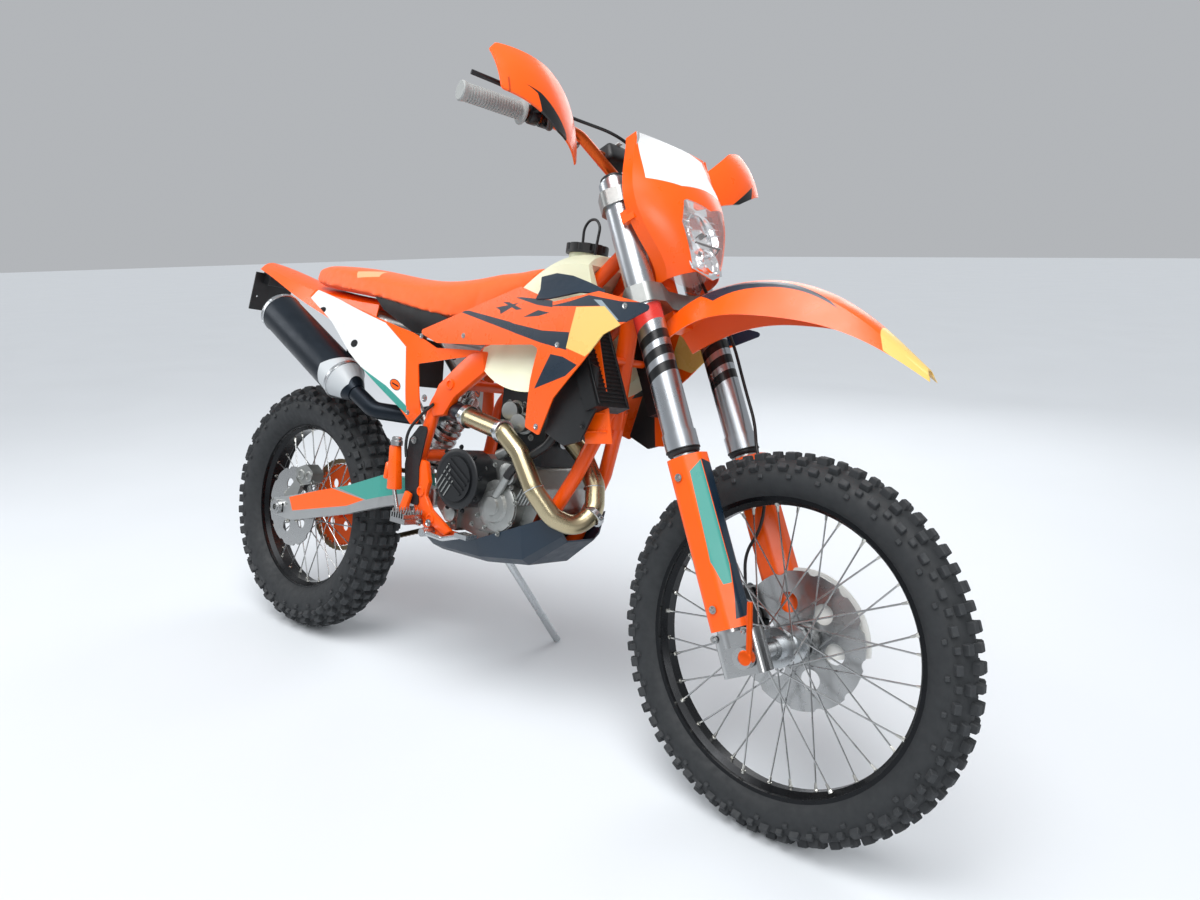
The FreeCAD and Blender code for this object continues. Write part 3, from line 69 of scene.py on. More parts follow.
def axes(origin, forward, left, up):
    turn = Matrix((forward, left, up)).transposed().to_4x4()
    return Matrix.Translation(origin) @ turn


steer_line = Vector(joints["steering"]["axis"]).normalized()
left = Vector(joints["rear_wheel_spin"]["axis"]).normalized()
square = left.cross(steer_line)
forward = square * math.cos(head_angle) - steer_line * math.sin(head_angle)
up = square * math.sin(head_angle) + steer_line * math.cos(head_angle)
rear_axle = Vector(joints["rear_wheel_spin"]["pos_m"])
bike_axes = axes(rear_axle - up * rear_radius * MM, forward, left, up)

fork_left = Vector(joints["front_wheel_spin"]["axis"]).normalized()
front_axle = Vector(joints["front_wheel_spin"]["pos_m"])
fork_axes = axes(front_axle, fork_left.cross(steer_line), fork_left, steer_line)
print("front axle on the bike's axes, mm:", [round(v / MM, 1) for v in bike_axes.inverted() @ front_axle])

# %% [markdown]
# ## Camera
# The photograph was taken from the front right and from low down, at about the height of the radiators.
# A camera could be aimed by eye, but the two wheels are circles of known size, so it was fitted to them.
# Its place is given on the bike's own axes, so it stays with the bike.

# %% Camera
focal_length, film_width = 26.816, 36.0
camera_spot = (2191.8, -1477.0, 777.6)          # mm on the bike's axes
camera_turn = (76.6247, 0.7282, 39.7428)        # degrees


def new_object(name, data):
    piece = bpy.data.objects.new(name, data)
    bpy.context.scene.collection.objects.link(piece)
    return piece


camera_data = bpy.data.cameras.new("camera")
camera_data.lens = focal_length
camera_data.sensor_width = film_width
camera = new_object("camera", camera_data)
aim = Euler([math.radians(angle) for angle in camera_turn]).to_matrix().to_4x4()
camera.matrix_world = Matrix.Translation(bike_axes @ (Vector(camera_spot) * MM)) @ aim
bpy.context.scene.camera = camera
print("camera stands at", [round(v, 2) for v in camera.matrix_world.translation])

# %% [markdown]
# ## Floor and light
# A plain pale floor takes the bike's shadow and runs far enough back to meet the pale sky.
# A studio picture could light the bike, but a few large soft lamps are easier to place and read no file:
# one overhead, two on the camera's side, one beyond the bike for its edges, and a wide soft sun that
# lifts the shadows.
# The plain display transform keeps the plastics as bright and clean as they are in the photograph.

# %% Floor
def mesh_from(bm, name):
    mesh = bpy.data.meshes.new(name)
    bm.to_mesh(mesh)
    bm.free()
    return mesh


floor_half = 40.0       # metres
bm = bmesh.new()
bmesh.ops.create_grid(bm, x_segments=1, y_segments=1, size=floor_half)
floor = new_object("floor", mesh_from(bm, "floor"))
bpy.context.scene.view_settings.view_transform = "Standard"
print("floor is", 2 * floor_half, "m across")

# %% Lamps and sky
def lamp(name, place, aim, size, power):
    """a round soft lamp in metres and watts"""
    data = bpy.data.lights.new(name, "AREA")
    data.shape, data.size, data.energy = "DISK", size, power
    piece = new_object(name, data)
    piece.location = place
    piece.rotation_euler = (Vector(aim) - Vector(place)).to_track_quat("-Z", "Y").to_euler()


lamp("lamp_over", (0.4, -1.2, 3.6), (0, 0, 0.6), 2.2, 60)
lamp("lamp_front", (3.4, -2.4, 2.2), (0.2, 0, 0.7), 1.4, 26)
lamp("lamp_side", (-3.0, -1.6, 2.2), (-0.2, 0, 0.6), 1.6, 22)
lamp("lamp_back", (-0.5, 3.2, 2.4), (0, 0, 0.7), 2.4, 34)
sun = bpy.data.lights.new("lamp_wide", "SUN")
sun.energy, sun.angle = 1.9, math.radians(50)
new_object("lamp_wide", sun).rotation_euler = (math.radians(28), math.radians(14), 0)
world = bpy.data.worlds.new("studio")
bpy.context.scene.world = world
world.use_nodes = True
sky = world.node_tree.nodes["Background"].inputs
sky["Color"].default_value = (0.90, 0.93, 0.97, 1.0)
sky["Strength"].default_value = 0.5
print("lamps:", len(bpy.data.lights))

# %% [markdown]
# ## How a finish is written
# A colour is written as on a paint card, in sRGB, and turned to the linear light that the renderer adds up.
# One small function adds a shader node, sets it and links it, so that each finish reads as a short list.
# Flat colours would be shorter still, but real surfaces drift in tone, polish and grain, so each one does.

# %% Colour and node helpers
mm_per_m = 1000.0


def linear(code):
    """#rrggbb to linear light"""
    parts = [int(code[i:i + 2], 16) / 255 for i in (1, 3, 5)]
    return [c / 12.92 if c <= 0.04045 else ((c + 0.055) / 1.055) ** 2.4 for c in parts] + [1.0]


def add(tree, kind, links=None, **settings):
    """one shader node with its settings, its constants and its links"""
    node = tree.nodes.new(kind)
    for name, value in settings.items():
        setattr(node, name, value)
    for socket, value in (links or {}).items():
        if isinstance(value, bpy.types.NodeSocket):
            tree.links.new(value, node.inputs[socket])
        else:
            node.inputs[socket].default_value = value
    return node


def start(name, base, roughness, metallic, **sockets):
    """a material with its shader: returns the material, its tree, the shader and object coordinates"""
    material = bpy.data.materials.new(name)
    material.use_nodes = True
    tree = material.node_tree
    shader = tree.nodes["Principled BSDF"]
    shader.inputs["Base Color"].default_value = linear(base)
    shader.inputs["Roughness"].default_value = roughness
    shader.inputs["Metallic"].default_value = metallic
    for socket, value in sockets.items():
        shader.inputs[socket.replace("_", " ")].default_value = value
    material.diffuse_color = linear(base)
    spot = add(tree, "ShaderNodeTexCoord").outputs["Object"]
    return material, tree, shader, spot


def mottled(tree, spot, shader, base, tone, size):
    """the base colour drifts halfway to a second tone in patches of the given size in mm"""
    patches = add(tree, "ShaderNodeTexNoise", {"Vector": spot, "Scale": mm_per_m / size, "Detail": 3.0})
    amount = add(tree, "ShaderNodeMath", {0: patches.outputs["Fac"], 1: 0.5}, operation="MULTIPLY")
    blend = add(tree, "ShaderNodeMix", {0: amount.outputs[0], 6: linear(base), 7: linear(tone)},
                data_type="RGBA")
    tree.links.new(blend.outputs[2], shader.inputs["Base Color"])


def rough_between(tree, spot, shader, low, high, size):
    """roughness wanders between two values in patches of the given size in mm"""
    patches = add(tree, "ShaderNodeTexNoise", {"Vector": spot, "Scale": mm_per_m / size, "Detail": 5.0})
    span = add(tree, "ShaderNodeMapRange", {0: patches.outputs["Fac"], 1: 0.3, 2: 0.7, 3: low, 4: high})
    tree.links.new(span.outputs[0], shader.inputs["Roughness"])


def grained(tree, spot, shader, size, depth):
    """fine bumps of the given size and depth in mm"""
    grain = add(tree, "ShaderNodeTexNoise", {"Vector": spot, "Scale": mm_per_m / size, "Detail": 2.0})
    bump = add(tree, "ShaderNodeBump",
               {"Height": grain.outputs["Fac"], "Strength": 1.0, "Distance": depth * MM})
    tree.links.new(bump.outputs["Normal"], shader.inputs["Normal"])


print("orange in linear light:", [round(c, 3) for c in linear("#F45A00")])

# %% [markdown]
# ## Colours that follow a drawn outline
# The panels carry blocks of colour with sharp slanted edges, as film stuck on the real ones.
# A picture could be wrapped round them, but an outline drawn in mm on the bike's side view stays sharp
# at any size. So the pattern is turned to the bike's axes, and each outline is a mask:
# how far a point lies inside every edge.

# %% Outline masks
def turned_to(tree, spot, frame_axes):
    """object coordinates, in metres, to mm on the bike's or the fork's axes"""
    back = frame_axes.inverted()
    links = {"Vector": spot, "Location": back.translation * mm_per_m,
             "Rotation": back.to_euler(), "Scale": (mm_per_m, mm_per_m, mm_per_m)}
    return add(tree, "ShaderNodeMapping", links, vector_type="POINT").outputs[0]


def corners_of(shape):
    """a convex outline as it is, any other as triangles, always running the same way round"""
    def turn(a, b, c):
        return (b[0] - a[0]) * (c[1] - b[1]) - (b[1] - a[1]) * (c[0] - b[0])
    turns = [turn(shape[i - 2], shape[i - 1], shape[i]) for i in range(len(shape))]
    if min(turns) * max(turns) >= 0:
        parts = [list(shape)]
    else:
        flat = [Vector((a, b, 0.0)) for a, b in shape]
        parts = [[shape[i] for i in three] for three in tessellate_polygon([flat])]
    return [part if turn(*part[:3]) > 0 else part[::-1] for part in parts]


def inside(tree, place, shape, plane, blur=0.5):
    """1 inside an outline given in mm on two of the axes, 0 outside it, with an edge of blur mm"""
    whole = None
    for part in corners_of(shape):
        least = None
        for a, b in zip(part, part[1:] + part[:1]):
            length = math.hypot(b[0] - a[0], b[1] - a[1])
            normal = [0.0, 0.0, 0.0]
            normal[plane[0]] = (a[1] - b[1]) / length
            normal[plane[1]] = (b[0] - a[0]) / length
            across = add(tree, "ShaderNodeVectorMath", {0: place, 1: normal}, operation="DOT_PRODUCT")
            edge = a[0] * normal[plane[0]] + a[1] * normal[plane[1]]
            depth = add(tree, "ShaderNodeMath", {0: across.outputs["Value"], 1: edge},
                        operation="SUBTRACT").outputs[0]
            least = depth if least is None else add(
                tree, "ShaderNodeMath", {0: least, 1: depth}, operation="MINIMUM").outputs[0]
        whole = least if whole is None else add(
            tree, "ShaderNodeMath", {0: whole, 1: least}, operation="MAXIMUM").outputs[0]
    return add(tree, "ShaderNodeMapRange", {0: whole, 1: -blur, 2: 0.0, 3: 0.0, 4: 1.0}).outputs[0]


def oval(a, b, across, high, lean, sides=12):
    """an oval outline about a centre, leaned by some degrees"""
    points = []
    s = math.radians(lean)
    for k in range(sides):
        t = 2 * math.pi * k / sides
        u, v = across * math.cos(t), high * math.sin(t)
        points.append((a + u * math.cos(s) - v * math.sin(s), b + u * math.sin(s) + v * math.cos(s)))
    return points


print("a notched outline is cut into", len(corners_of([(0, 0), (4, 0), (1, 1), (0, 4)])), "triangles")

# %% Film over a base colour
side_view, front_view, top_view = (0, 2), (1, 2), (0, 1)      # which two axes an outline is drawn on


def painted(tree, spot, shader, frame_axes, layers, plane=side_view):
    """lays blocks of (colour, outline) over the base colour, and gives where they cover it"""
    place = turned_to(tree, spot, frame_axes)
    colour = shader.inputs["Base Color"].links[0].from_socket
    cover = None
    for code, shape in layers:
        mask = inside(tree, place, shape, plane)
        colour = add(tree, "ShaderNodeMix", {0: mask, 6: colour, 7: linear(code)},
                     data_type="RGBA").outputs[2]
        cover = mask if cover is None else add(
            tree, "ShaderNodeMath", {0: cover, 1: mask}, operation="MAXIMUM").outputs[0]
    tree.links.new(colour, shader.inputs["Base Color"])
    return cover


# %% One whole finish
def plain(name, base, tone, rough, metallic, patch, grain, depth, paint=None, **sockets):
    """rough is a low and a high value; patch, grain and depth are in mm; paint is what painted() takes"""
    low, high = rough
    material, tree, shader, spot = start(name, base, low, metallic, **sockets)
    mottled(tree, spot, shader, base, tone, patch)
    rough_between(tree, spot, shader, low, high, patch * 0.6)
    grained(tree, spot, shader, grain, depth)
    if paint:
        cover = painted(tree, spot, shader, *paint)
        if metallic:
            bare = add(tree, "ShaderNodeMapRange", {0: cover, 1: 0.0, 2: 1.0, 3: metallic, 4: 0.0})
            tree.links.new(bare.outputs[0], shader.inputs["Metallic"])
    return material


# %% [markdown]
# ## Plastics
# The body panels are injection-moulded polypropylene: colour all through, a soft gloss and almost no grain.
# Film in navy, teal, cream and white is stuck over them. It could be thin sheets of its own, but those
# flicker where they touch the panel, so its outlines are drawn here in mm and painted into the plastic.

# %% Film on the shrouds, with a painted highlight
ORANGE, NAVY, TEAL, CREAM = "#F45A00", "#0E2232", "#3A8F84", "#E3BC68"
# The grey here is no film: it is the colour of a painted highlight on glossy navy.
WHITE, BLACK, PAINTED_HIGHLIGHT_GREY, DARK_ORANGE, RED = "#DCDDDD", "#0B0D0F", "#8A979F", "#B23C00", "#C8322A"
shroud_film_and_highlight = [
    (NAVY, [(673, 903), (710, 905), (853, 886), (909, 873), (897, 860), (830, 873)]),
    (NAVY, [(856, 884), (960, 872), (1040, 872), (1037, 838), (960, 848), (880, 863)]),
    (NAVY, [(869, 936), (884, 937), (981, 932), (983, 919), (935, 923)]),
    (NAVY, [(805, 914), (877, 925), (822, 901), (818, 910)]),
    (NAVY, [(827, 926), (847, 926), (890, 913), (872, 911)]),
    (NAVY, [(898, 897), (941, 912), (975, 908), (945, 901)]),
    (NAVY, [(976, 921), (1030, 931), (1082, 944), (1167, 934), (1262, 932), (1230, 900), (1167, 896),
            (1125, 925), (1066, 923)]),
    # This grey strip is a painted highlight on the glossy navy, not film.
    (PAINTED_HIGHLIGHT_GREY, [(1098, 936), (1118, 935), (1168, 900), (1160, 899)]),
    (CREAM, [(1052, 921), (1128, 924), (1174, 892), (1091, 829), (1036, 842)]),
    (NAVY, [(993, 827), (1029, 824), (1071, 811), (1041, 788), (952, 756)]),
]
print("shroud colour blocks:", len(shroud_film_and_highlight))

# %% Film on the side panels
side_film = [
    (WHITE, [(198, 932), (261, 912), (425, 864), (490, 813), (508, 656), (415, 721), (268, 799), (219, 856),
             (172, 908)]),
    (TEAL, [(318, 774), (444, 716), (508, 674), (508, 655), (446, 692), (384, 727)]),
    (BLACK, oval(213, 881, 11, 7, 25)), (BLACK, oval(335, 807, 12, 9, 20)),
    (BLACK, oval(471, 721, 17, 12, -30)), (ORANGE, oval(471, 721, 15, 10, -30)),
    (BLACK, [(461, 723), (480, 716), (481, 719), (462, 726)]),
]
print("side panel colour blocks:", len(side_film))

# %% Film on the fork's pieces, on the fork's own axes
plate_film = [(WHITE, [(-116, 992), (0, 1000), (97, 984), (113, 905), (62, 872), (-62, 872), (-124, 892)])]
vent_film = [
    (BLACK, [(-372, 1020), (-352, 1008), (-262, 945), (-276, 966), (-344, 1010)]),
    (BLACK, [(-352, 1008), (-262, 945), (-340, 962)]),
    (BLACK, [(352, 1008), (262, 945), (340, 962)]),
    (DARK_ORANGE, [(-402, 1030), (-404, 985), (-340, 955), (-342, 953), (-407, 983), (-405, 1030)]),
]
guard_film = [
    (TEAL, [(-134, 335), (-118, 352), (-116, 160), (-120, 128), (-130, 128), (-137, 170)]),
    (NAVY, [(-116, 353), (-76, 340), (-70, 130), (-74, 72), (-126, 66), (-118, 128), (-114, 160)]),
]
fender_film = [
    (NAVY, [(60, -58), (90, -70), (300, -44), (230, -36)]),
    (NAVY, [(60, 58), (90, 70), (300, 44), (230, 36)]),
    (CREAM, [(352, -40), (380, -30), (420, -10), (420, 10), (380, 30), (352, 40)]),
]
rings = [(BLACK, [(-66, u), (8, u + 26), (8, u + 44), (-66, u + 18)]) for u in (574, 542, 510)]
tube_film = [(RED, [(-66, 612), (8, 640), (8, 672), (-66, 646)])] + rings
print("colour blocks on the fork:", len(plate_film + vent_film + guard_film + fender_film + tube_film))

# %% Plastics
def orange_panel(part, paint=None, low=0.26):
    """moulded orange plastic, glossy enough to show the sky as a soft band"""
    return plain("orange_polypropylene" + part, ORANGE, "#EA5200", (low, low + 0.1), 0.0, 60, 1.2, 0.015,
                 paint=paint)


orange_plastic = orange_panel("")
shroud_plastic = orange_panel("_shroud", (bike_axes, shroud_film_and_highlight), 0.24)
side_plastic = orange_panel("_side", (bike_axes, side_film))
mask_plastic = orange_panel("_mask", (fork_axes, plate_film, front_view))
hand_guard_plastic = orange_panel("_hand_guards", (fork_axes, vent_film, front_view))
fork_guard_plastic = orange_panel("_fork_guards", (fork_axes, guard_film, front_view))
fender_plastic = orange_panel("_fender", (fork_axes, fender_film, top_view))
# Navy and black panels are duller than the orange ones, and scuffs show on them as patches.
navy_plastic = plain("navy_polypropylene", NAVY, "#152B3C", (0.34, 0.48), 0.0, 40, 1.0, 0.03)
black_plastic = plain("black_polypropylene", "#0E1012", "#17191C", (0.42, 0.58), 0.0, 40, 0.8, 0.04)
# The frame guards' moulded grain is drawn coarser than the real one, so that it shows.
rough_black = plain("grained_black_polyamide", "#101316", "#1B1F24", (0.5, 0.68), 0.0, 14, 2.6, 0.5)
# White polypropylene hides its grain but shows where the sky is brightest.
white_plastic = plain("white_polypropylene", "#EDEDEA", "#DEDEDA", (0.3, 0.42), 0.0, 80, 1.2, 0.02)
# The tank is undyed and milky: light goes a few mm into it and softens its edges.
tank_plastic = plain("natural_polyethylene", "#E6E6C8", "#DCDDBA", (0.32, 0.46), 0.0, 50, 1.0, 0.02,
                     Subsurface_Weight=0.15, Subsurface_Radius=(0.01, 0.009, 0.006))
print("plastics:", len(bpy.data.materials))

# %% [markdown]
# ## Metals
# Castings come from the sand with a fine pebbled skin; machined parts are smoother and brighter.
# One grey would do from far off, but close up neighbouring parts would melt together,
# so each kind has its own tone, grain size and polish.

# %% Bare metals
arm_film = [
    (TEAL, [(229, 439), (300, 460), (483, 511), (508, 512), (512, 468), (381, 428), (256, 438)]),
    (ORANGE, [(46, 376), (140, 405), (231, 432), (372, 426), (305, 399), (66, 343)]),
]
# Sand leaves a matt, pebbled skin on the engine's cases.
cast_alloy = plain("sand_cast_aluminium", "#A6A8A6", "#8C8E8C", (0.36, 0.52), 1.0, 12, 0.9, 0.04)
# Turned and milled parts are bright and even.
machined_alloy = plain("machined_aluminium", "#C4C7C9", "#B4B7BA", (0.24, 0.3), 1.0, 60, 0.6, 0.001)
# The fork's tubes have a satin skin, with a red band and black rings of film below the lower clamp.
tube_alloy = plain("satin_anodised_tube", "#B9BDC1", "#ACB1B6", (0.26, 0.32), 1.0, 90, 0.6, 0.001,
                   paint=(fork_axes, tube_film))
# The swing arm is cast smoother than the engine, with teal and orange film on its sides.
arm_alloy = plain("cast_arm_aluminium", "#C4C6C6", "#AEB0B0", (0.3, 0.44), 1.0, 20, 0.7, 0.02,
                  paint=(bike_axes, arm_film))
# Ground steel gives discs, axles and legs clear, soft-edged highlights.
steel = plain("ground_steel", "#B4B5B5", "#A9ABAC", (0.24, 0.3), 1.0, 120, 0.4, 0.001)
# Oil and dust make the chain brown between its bright edges.
chain_steel = plain("oiled_chain_steel", "#8B7A5E", "#6E6250", (0.3, 0.46), 1.0, 9, 0.5, 0.02)
# Exhaust heat turns a polished header the colour of straw.
header_steel = plain("heat_tinted_steel", "#B9AE90", "#9C8A66", (0.24, 0.32), 1.0, 70, 0.5, 0.001)

print("bare metals:", [m.name for m in (cast_alloy, machined_alloy, tube_alloy, arm_alloy, steel)])

# %% Painted and anodised metals
# Powder coat flows as it bakes, so the frame is smooth with a soft gloss.
powder_orange = plain("orange_powder_coat", "#F45600", "#E84C00", (0.28, 0.4), 0.0, 50, 0.9, 0.02)
# Engine paint is thin, so a little of the metal's shine comes through it.
black_metal = plain("black_engine_paint", "#15171A", "#202326", (0.34, 0.5), 0.25, 25, 0.7, 0.03)
# The silencer is dark all along but for the bare cone at its front.
BARE = "#B4B9BC"
cone_film = [(BARE, [(214, 748), (262, 776), (296, 742), (300, 706), (268, 668), (236, 672), (205, 700)])]
black_can = plain("dark_coated_steel", "#0E1822", "#13202B", (0.3, 0.42), 0.55, 60, 0.8, 0.01,
                  paint=(bike_axes, cone_film))
# Dust in its fins keeps a radiator matt.
radiator_core = plain("black_painted_radiator", "#0D0F11", "#15181B", (0.45, 0.6), 0.3, 20, 0.8, 0.03)
# Anodised skins keep the metal's highlights and colour them.
rim_black = plain("black_anodised_rim", "#0D0F12", "#15181C", (0.22, 0.34), 0.6, 40, 0.5, 0.006)
bar_bronze = plain("bronze_anodised_bar", "#C9541C", "#B34715", (0.24, 0.32), 0.85, 50, 0.5, 0.001)
orange_anodised = plain("orange_anodised_aluminium", "#F05A10", "#DC4E08", (0.28, 0.36), 0.7, 50, 0.5,
                        0.001)
print("finishes so far:", len(bpy.data.materials))

# %% [markdown]
# ## Rubber and clear parts
# Tyre rubber is matt and dusty, the grips are a soft grey compound, and hoses have a faint sheen.
# The lamp's front is clear polycarbonate over a chromed reflector. True refraction would need many more
# light bounces, so it is mostly see-through and keeps its gloss.

# %% Rubber and clear parts
# Dust fills the casing's pores and takes its shine.
rubber = plain("tyre_rubber", "#1A1D20", "#2C2F31", (0.6, 0.8), 0.0, 26, 0.9, 0.06)
# Blocks wear paler and rougher than the casing between them.
block_rubber = plain("tyre_block_rubber", "#23262A", "#3B3D3D", (0.62, 0.85), 0.0, 16, 1.2, 0.12)
# Hoses are extruded, so they shine a little; the grips' soft compound scatters light like chalk.
hose_rubber = plain("hose_rubber", "#0C0D0F", "#15171A", (0.35, 0.5), 0.0, 30, 0.8, 0.02)
grip_rubber = plain("grip_rubber", "#9A9D9C", "#868988", (0.55, 0.7), 0.0, 18, 0.8, 0.04)
# Polished polycarbonate shows only its reflections, and the reflector's vacuum coating is a near mirror.
clear = plain("clear_polycarbonate", "#F4F7F8", "#EAEEF0", (0.02, 0.05), 0.0, 60, 6.0, 0.001,
              Alpha=0.16, IOR=1.58)
chrome = plain("aluminised_reflector", "#F6F7F8", "#ECEEF0", (0.12, 0.2), 1.0, 40, 2.0, 0.002)
floor_paint = plain("pale_floor", "#D4D8DC", "#CED2D6", (0.5, 0.65), 0.0, 900, 4.0, 0.02)
floor.data.materials.append(floor_paint)
print("finishes so far:", len(bpy.data.materials))

# %% [markdown]
# ## Dressing the CAD pieces
# Each node takes the finish that the real piece has. The nodes could be sorted by name in code,
# but a list by finish reads like a parts book and shows at once what is made of what.

# %% Dress the CAD pieces
finish_of = {
    orange_plastic: ["rear_fender"],
    fender_plastic: ["front_fender"],
    mask_plastic: ["headlamp_mask"],
    hand_guard_plastic: ["hand_guards"],
    fork_guard_plastic: ["fork_guards"],
    shroud_plastic: ["radiator_shroud_left", "radiator_shroud_right"],
    side_plastic: ["side_panel_left", "side_panel_right"],
    white_plastic: ["front_disc_guard"],
    black_plastic: ["airbox", "tail_lamp_unit", "fuel_cap", "hand_guard_mounts"],
    rough_black: ["frame_guards"],
    navy_plastic: ["skid_plate"],
    tank_plastic: ["fuel_tank"],
    powder_orange: ["main_frame"],
    cast_alloy: ["crankcase", "rear_subframe", "triple_clamps", "rear_brake_caliper"],
    tube_alloy: ["fork_outer_tubes"],
    machined_alloy: ["front_hub", "rear_hub", "bar_clamps", "brake_pedal", "shift_lever", "side_stand"],
    arm_alloy: ["swing_arm"],
    black_metal: ["cylinder_and_head", "cam_cover", "clutch_cover", "ignition_cover", "hand_levers",
                  "front_brake_caliper"],
    black_can: ["silencer"],
    radiator_core: ["radiators"],
    steel: ["rear_axle", "front_axle", "fork_inner_legs", "front_brake_disc", "rear_brake_disc", "footpegs",
            "shock_absorber", "front_spokes", "rear_spokes"],
    chain_steel: ["drive_chain"],
    orange_anodised: ["rear_sprocket"],
    rim_black: ["front_rim", "rear_rim"],
    header_steel: ["exhaust_header"],
    bar_bronze: ["handlebar"],
    hose_rubber: ["front_brake_hose", "tank_breather_hose"],
    rubber: ["front_tyre", "rear_tyre"],
    grip_rubber: ["grips"],
    clear: ["headlamp_lens"],
}
for material, names in finish_of.items():
    for name in names:
        nodes[name].data.materials.clear()
        nodes[name].data.materials.append(material)
print("nodes still bare:", [name for name, node in nodes.items() if not node.data.materials])

# %% [markdown]
# ## How a new piece is made
# Each piece is drawn in mm on the bike's, the fork's or a wheel's axes, as on a workshop drawing.
# It starts from a simple shape, is spun, extruded or bevelled, and is then carried to its place in one go.
# That keeps its numbers readable, and its object stays at the origin as the CAD pieces do.

# %% Finishing a piece
SIDES = (1, -1)         # left and right
SEAM = 0.01             # corners nearer than this, in mm, are one
SHARP = math.radians(38)


def finish_piece(bm, name, body, material, place, smooth=True):
    """closes a piece's seams, takes it from its drawing in mm to its place and rides it on a body"""
    bmesh.ops.remove_doubles(bm, verts=bm.verts, dist=SEAM)
    bmesh.ops.recalc_face_normals(bm, faces=bm.faces)
    bm.transform(place @ Matrix.Scale(MM, 4))
    for face in bm.faces:
        face.smooth = smooth
    piece = new_object(name, mesh_from(bm, name))
    if smooth:
        piece.data.set_sharp_from_angle(angle=SHARP)
    piece.data.materials.append(material)
    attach(piece, body)
    print(name, len(piece.data.polygons), "faces")
    return piece


def fresh_verts(bm):
    """the corners made since the last call, marked as seen"""
    fresh = [v for v in bm.verts if not v.tag]
    for v in fresh:
        v.tag = True
    return fresh


def standing(at, along):
    """a matrix that stands a shape drawn along z at a point, along a direction"""
    return Matrix.Translation(at) @ Vector(along).to_track_quat("Z", "Y").to_matrix().to_4x4()


def put(x, y, z, lean=0.0):
    """a matrix that lays a shape at a point, leaned by some radians about the left axis"""
    return Matrix.Translation((x, y, z)) @ Matrix.Rotation(lean, 4, "Y")


def on_side(point, side):
    """a point of the left side, or its twin on the right"""
    return Vector((point.x, point.y * side, point.z))


# %% Turned shapes
def rod(bm, a, b, radius, end=None, sides=24):
    """a round bar between two points, tapered where an end radius is given"""
    a, b = Vector(a), Vector(b)
    bmesh.ops.create_cone(bm, cap_ends=True, segments=sides, radius1=radius,
                          radius2=radius if end is None else end,
                          depth=(b - a).length, matrix=standing((a + b) / 2, b - a))
    fresh_verts(bm)


def lathe(bm, at, along, profile, sides=48, closed=False):
    """spins a profile of (radius, height) about a line"""
    verts = [bm.verts.new((r, 0.0, h)) for r, h in profile]
    pairs = list(zip(verts, verts[1:])) + ([(verts[-1], verts[0])] if closed else [])
    edges = [bm.edges.new(pair) for pair in pairs]
    bmesh.ops.spin(bm, geom=verts + edges, cent=(0, 0, 0), axis=(0, 0, 1), angle=2 * math.pi, steps=sides,
                   use_merge=True)
    bmesh.ops.transform(bm, matrix=standing(at, along), verts=fresh_verts(bm))


flange, flange_reach = 1.4, 1.45        # mm high, and its radius against the head's


def bolt(bm, at, along, radius=5.0, high=4.0):
    """a hexagon bolt on a flange, with a socket in its head"""
    at, along = Vector(at), Vector(along).normalized()
    rod(bm, at, at + along * flange, radius * flange_reach, sides=18)
    lift = Matrix.Translation((0, 0, flange - 0.2 + high / 2))
    head = bmesh.ops.create_cone(bm, cap_ends=True, segments=6, radius1=radius, radius2=radius * 0.94,
                                 depth=high, matrix=standing(at, along) @ lift)["verts"]
    top = max({f for v in head for f in v.link_faces},
              key=lambda f: (f.calc_center_median() - at).dot(along))
    bmesh.ops.inset_region(bm, faces=[top], thickness=radius * 0.38)
    bmesh.ops.translate(bm, verts=top.verts, vec=along * -high * 0.6)
    fresh_verts(bm)


# %% Blocks, sheets and hoses
def softened(bm, edges, width, segments):
    return bmesh.ops.bevel(bm, geom=edges, offset=width, segments=segments, affect="EDGES", profile=0.5,
                           material=-1)["faces"]


def block(bm, size, place, bevel=1.0, taper=1.0, segments=1):
    """a rounded block of a size in mm, its top narrowed by taper"""
    cube = bmesh.ops.create_cube(bm, size=1.0)["verts"]
    for v in cube:
        k = taper if v.co.z > 0 else 1.0
        v.co = Vector((v.co.x * size[0] * k, v.co.y * size[1] * k, v.co.z * size[2]))
    faces = softened(bm, list({e for v in cube for e in v.link_edges}), bevel, segments)
    bmesh.ops.transform(bm, matrix=place, verts=list({v for f in faces for v in f.verts}))
    fresh_verts(bm)


def sheet_of(bm, outline, face_at, thick, bevel=1.2):
    """an outline drawn on the side view, laid on a surface and given a thickness"""
    verts = [bm.verts.new(face_at(a, b)) for a, b in outline]
    made = bmesh.ops.extrude_face_region(bm, geom=[bm.faces.new(verts)])
    moved = [v for v in made["geom"] if isinstance(v, bmesh.types.BMVert)]
    bmesh.ops.translate(bm, verts=moved, vec=Vector(thick))
    softened(bm, list({e for v in verts + moved for e in v.link_edges}), bevel, 2)
    fresh_verts(bm)


def wire(bm, points, radius):
    """a round hose through points: a smooth curve of its own, made a mesh"""
    curve = bpy.data.curves.new("wire", "CURVE")
    curve.dimensions, curve.bevel_depth, curve.bevel_resolution = "3D", radius, 3
    curve.use_fill_caps = True
    spline = curve.splines.new("NURBS")
    spline.points.add(len(points) - 1)
    for point, place in zip(spline.points, points):
        point.co = (*place, 1.0)
    spline.order_u, spline.use_endpoint_u, spline.resolution_u = 3, True, 6
    helper = bpy.data.objects.new("wire", curve)
    mesh = bpy.data.meshes.new_from_object(helper)
    bm.from_mesh(mesh)
    bpy.data.objects.remove(helper)
    bpy.data.meshes.remove(mesh)
    fresh_verts(bm)


# %% [markdown]
# ## Knobby tyres
# An off-road tyre is a smooth casing with rows of separate rubber blocks that bite into soft ground.
# The blocks could be pushed out by a bump, but their edges would look soft, so real blocks are made.
# The casing is one section spun round the axle. One pitch of blocks is made, then spun round as copies.

# %% A tyre's section
tyre_edge = 145                 # degrees round the section from the crown to the bead
side_wall, crown_wall = 6, 8


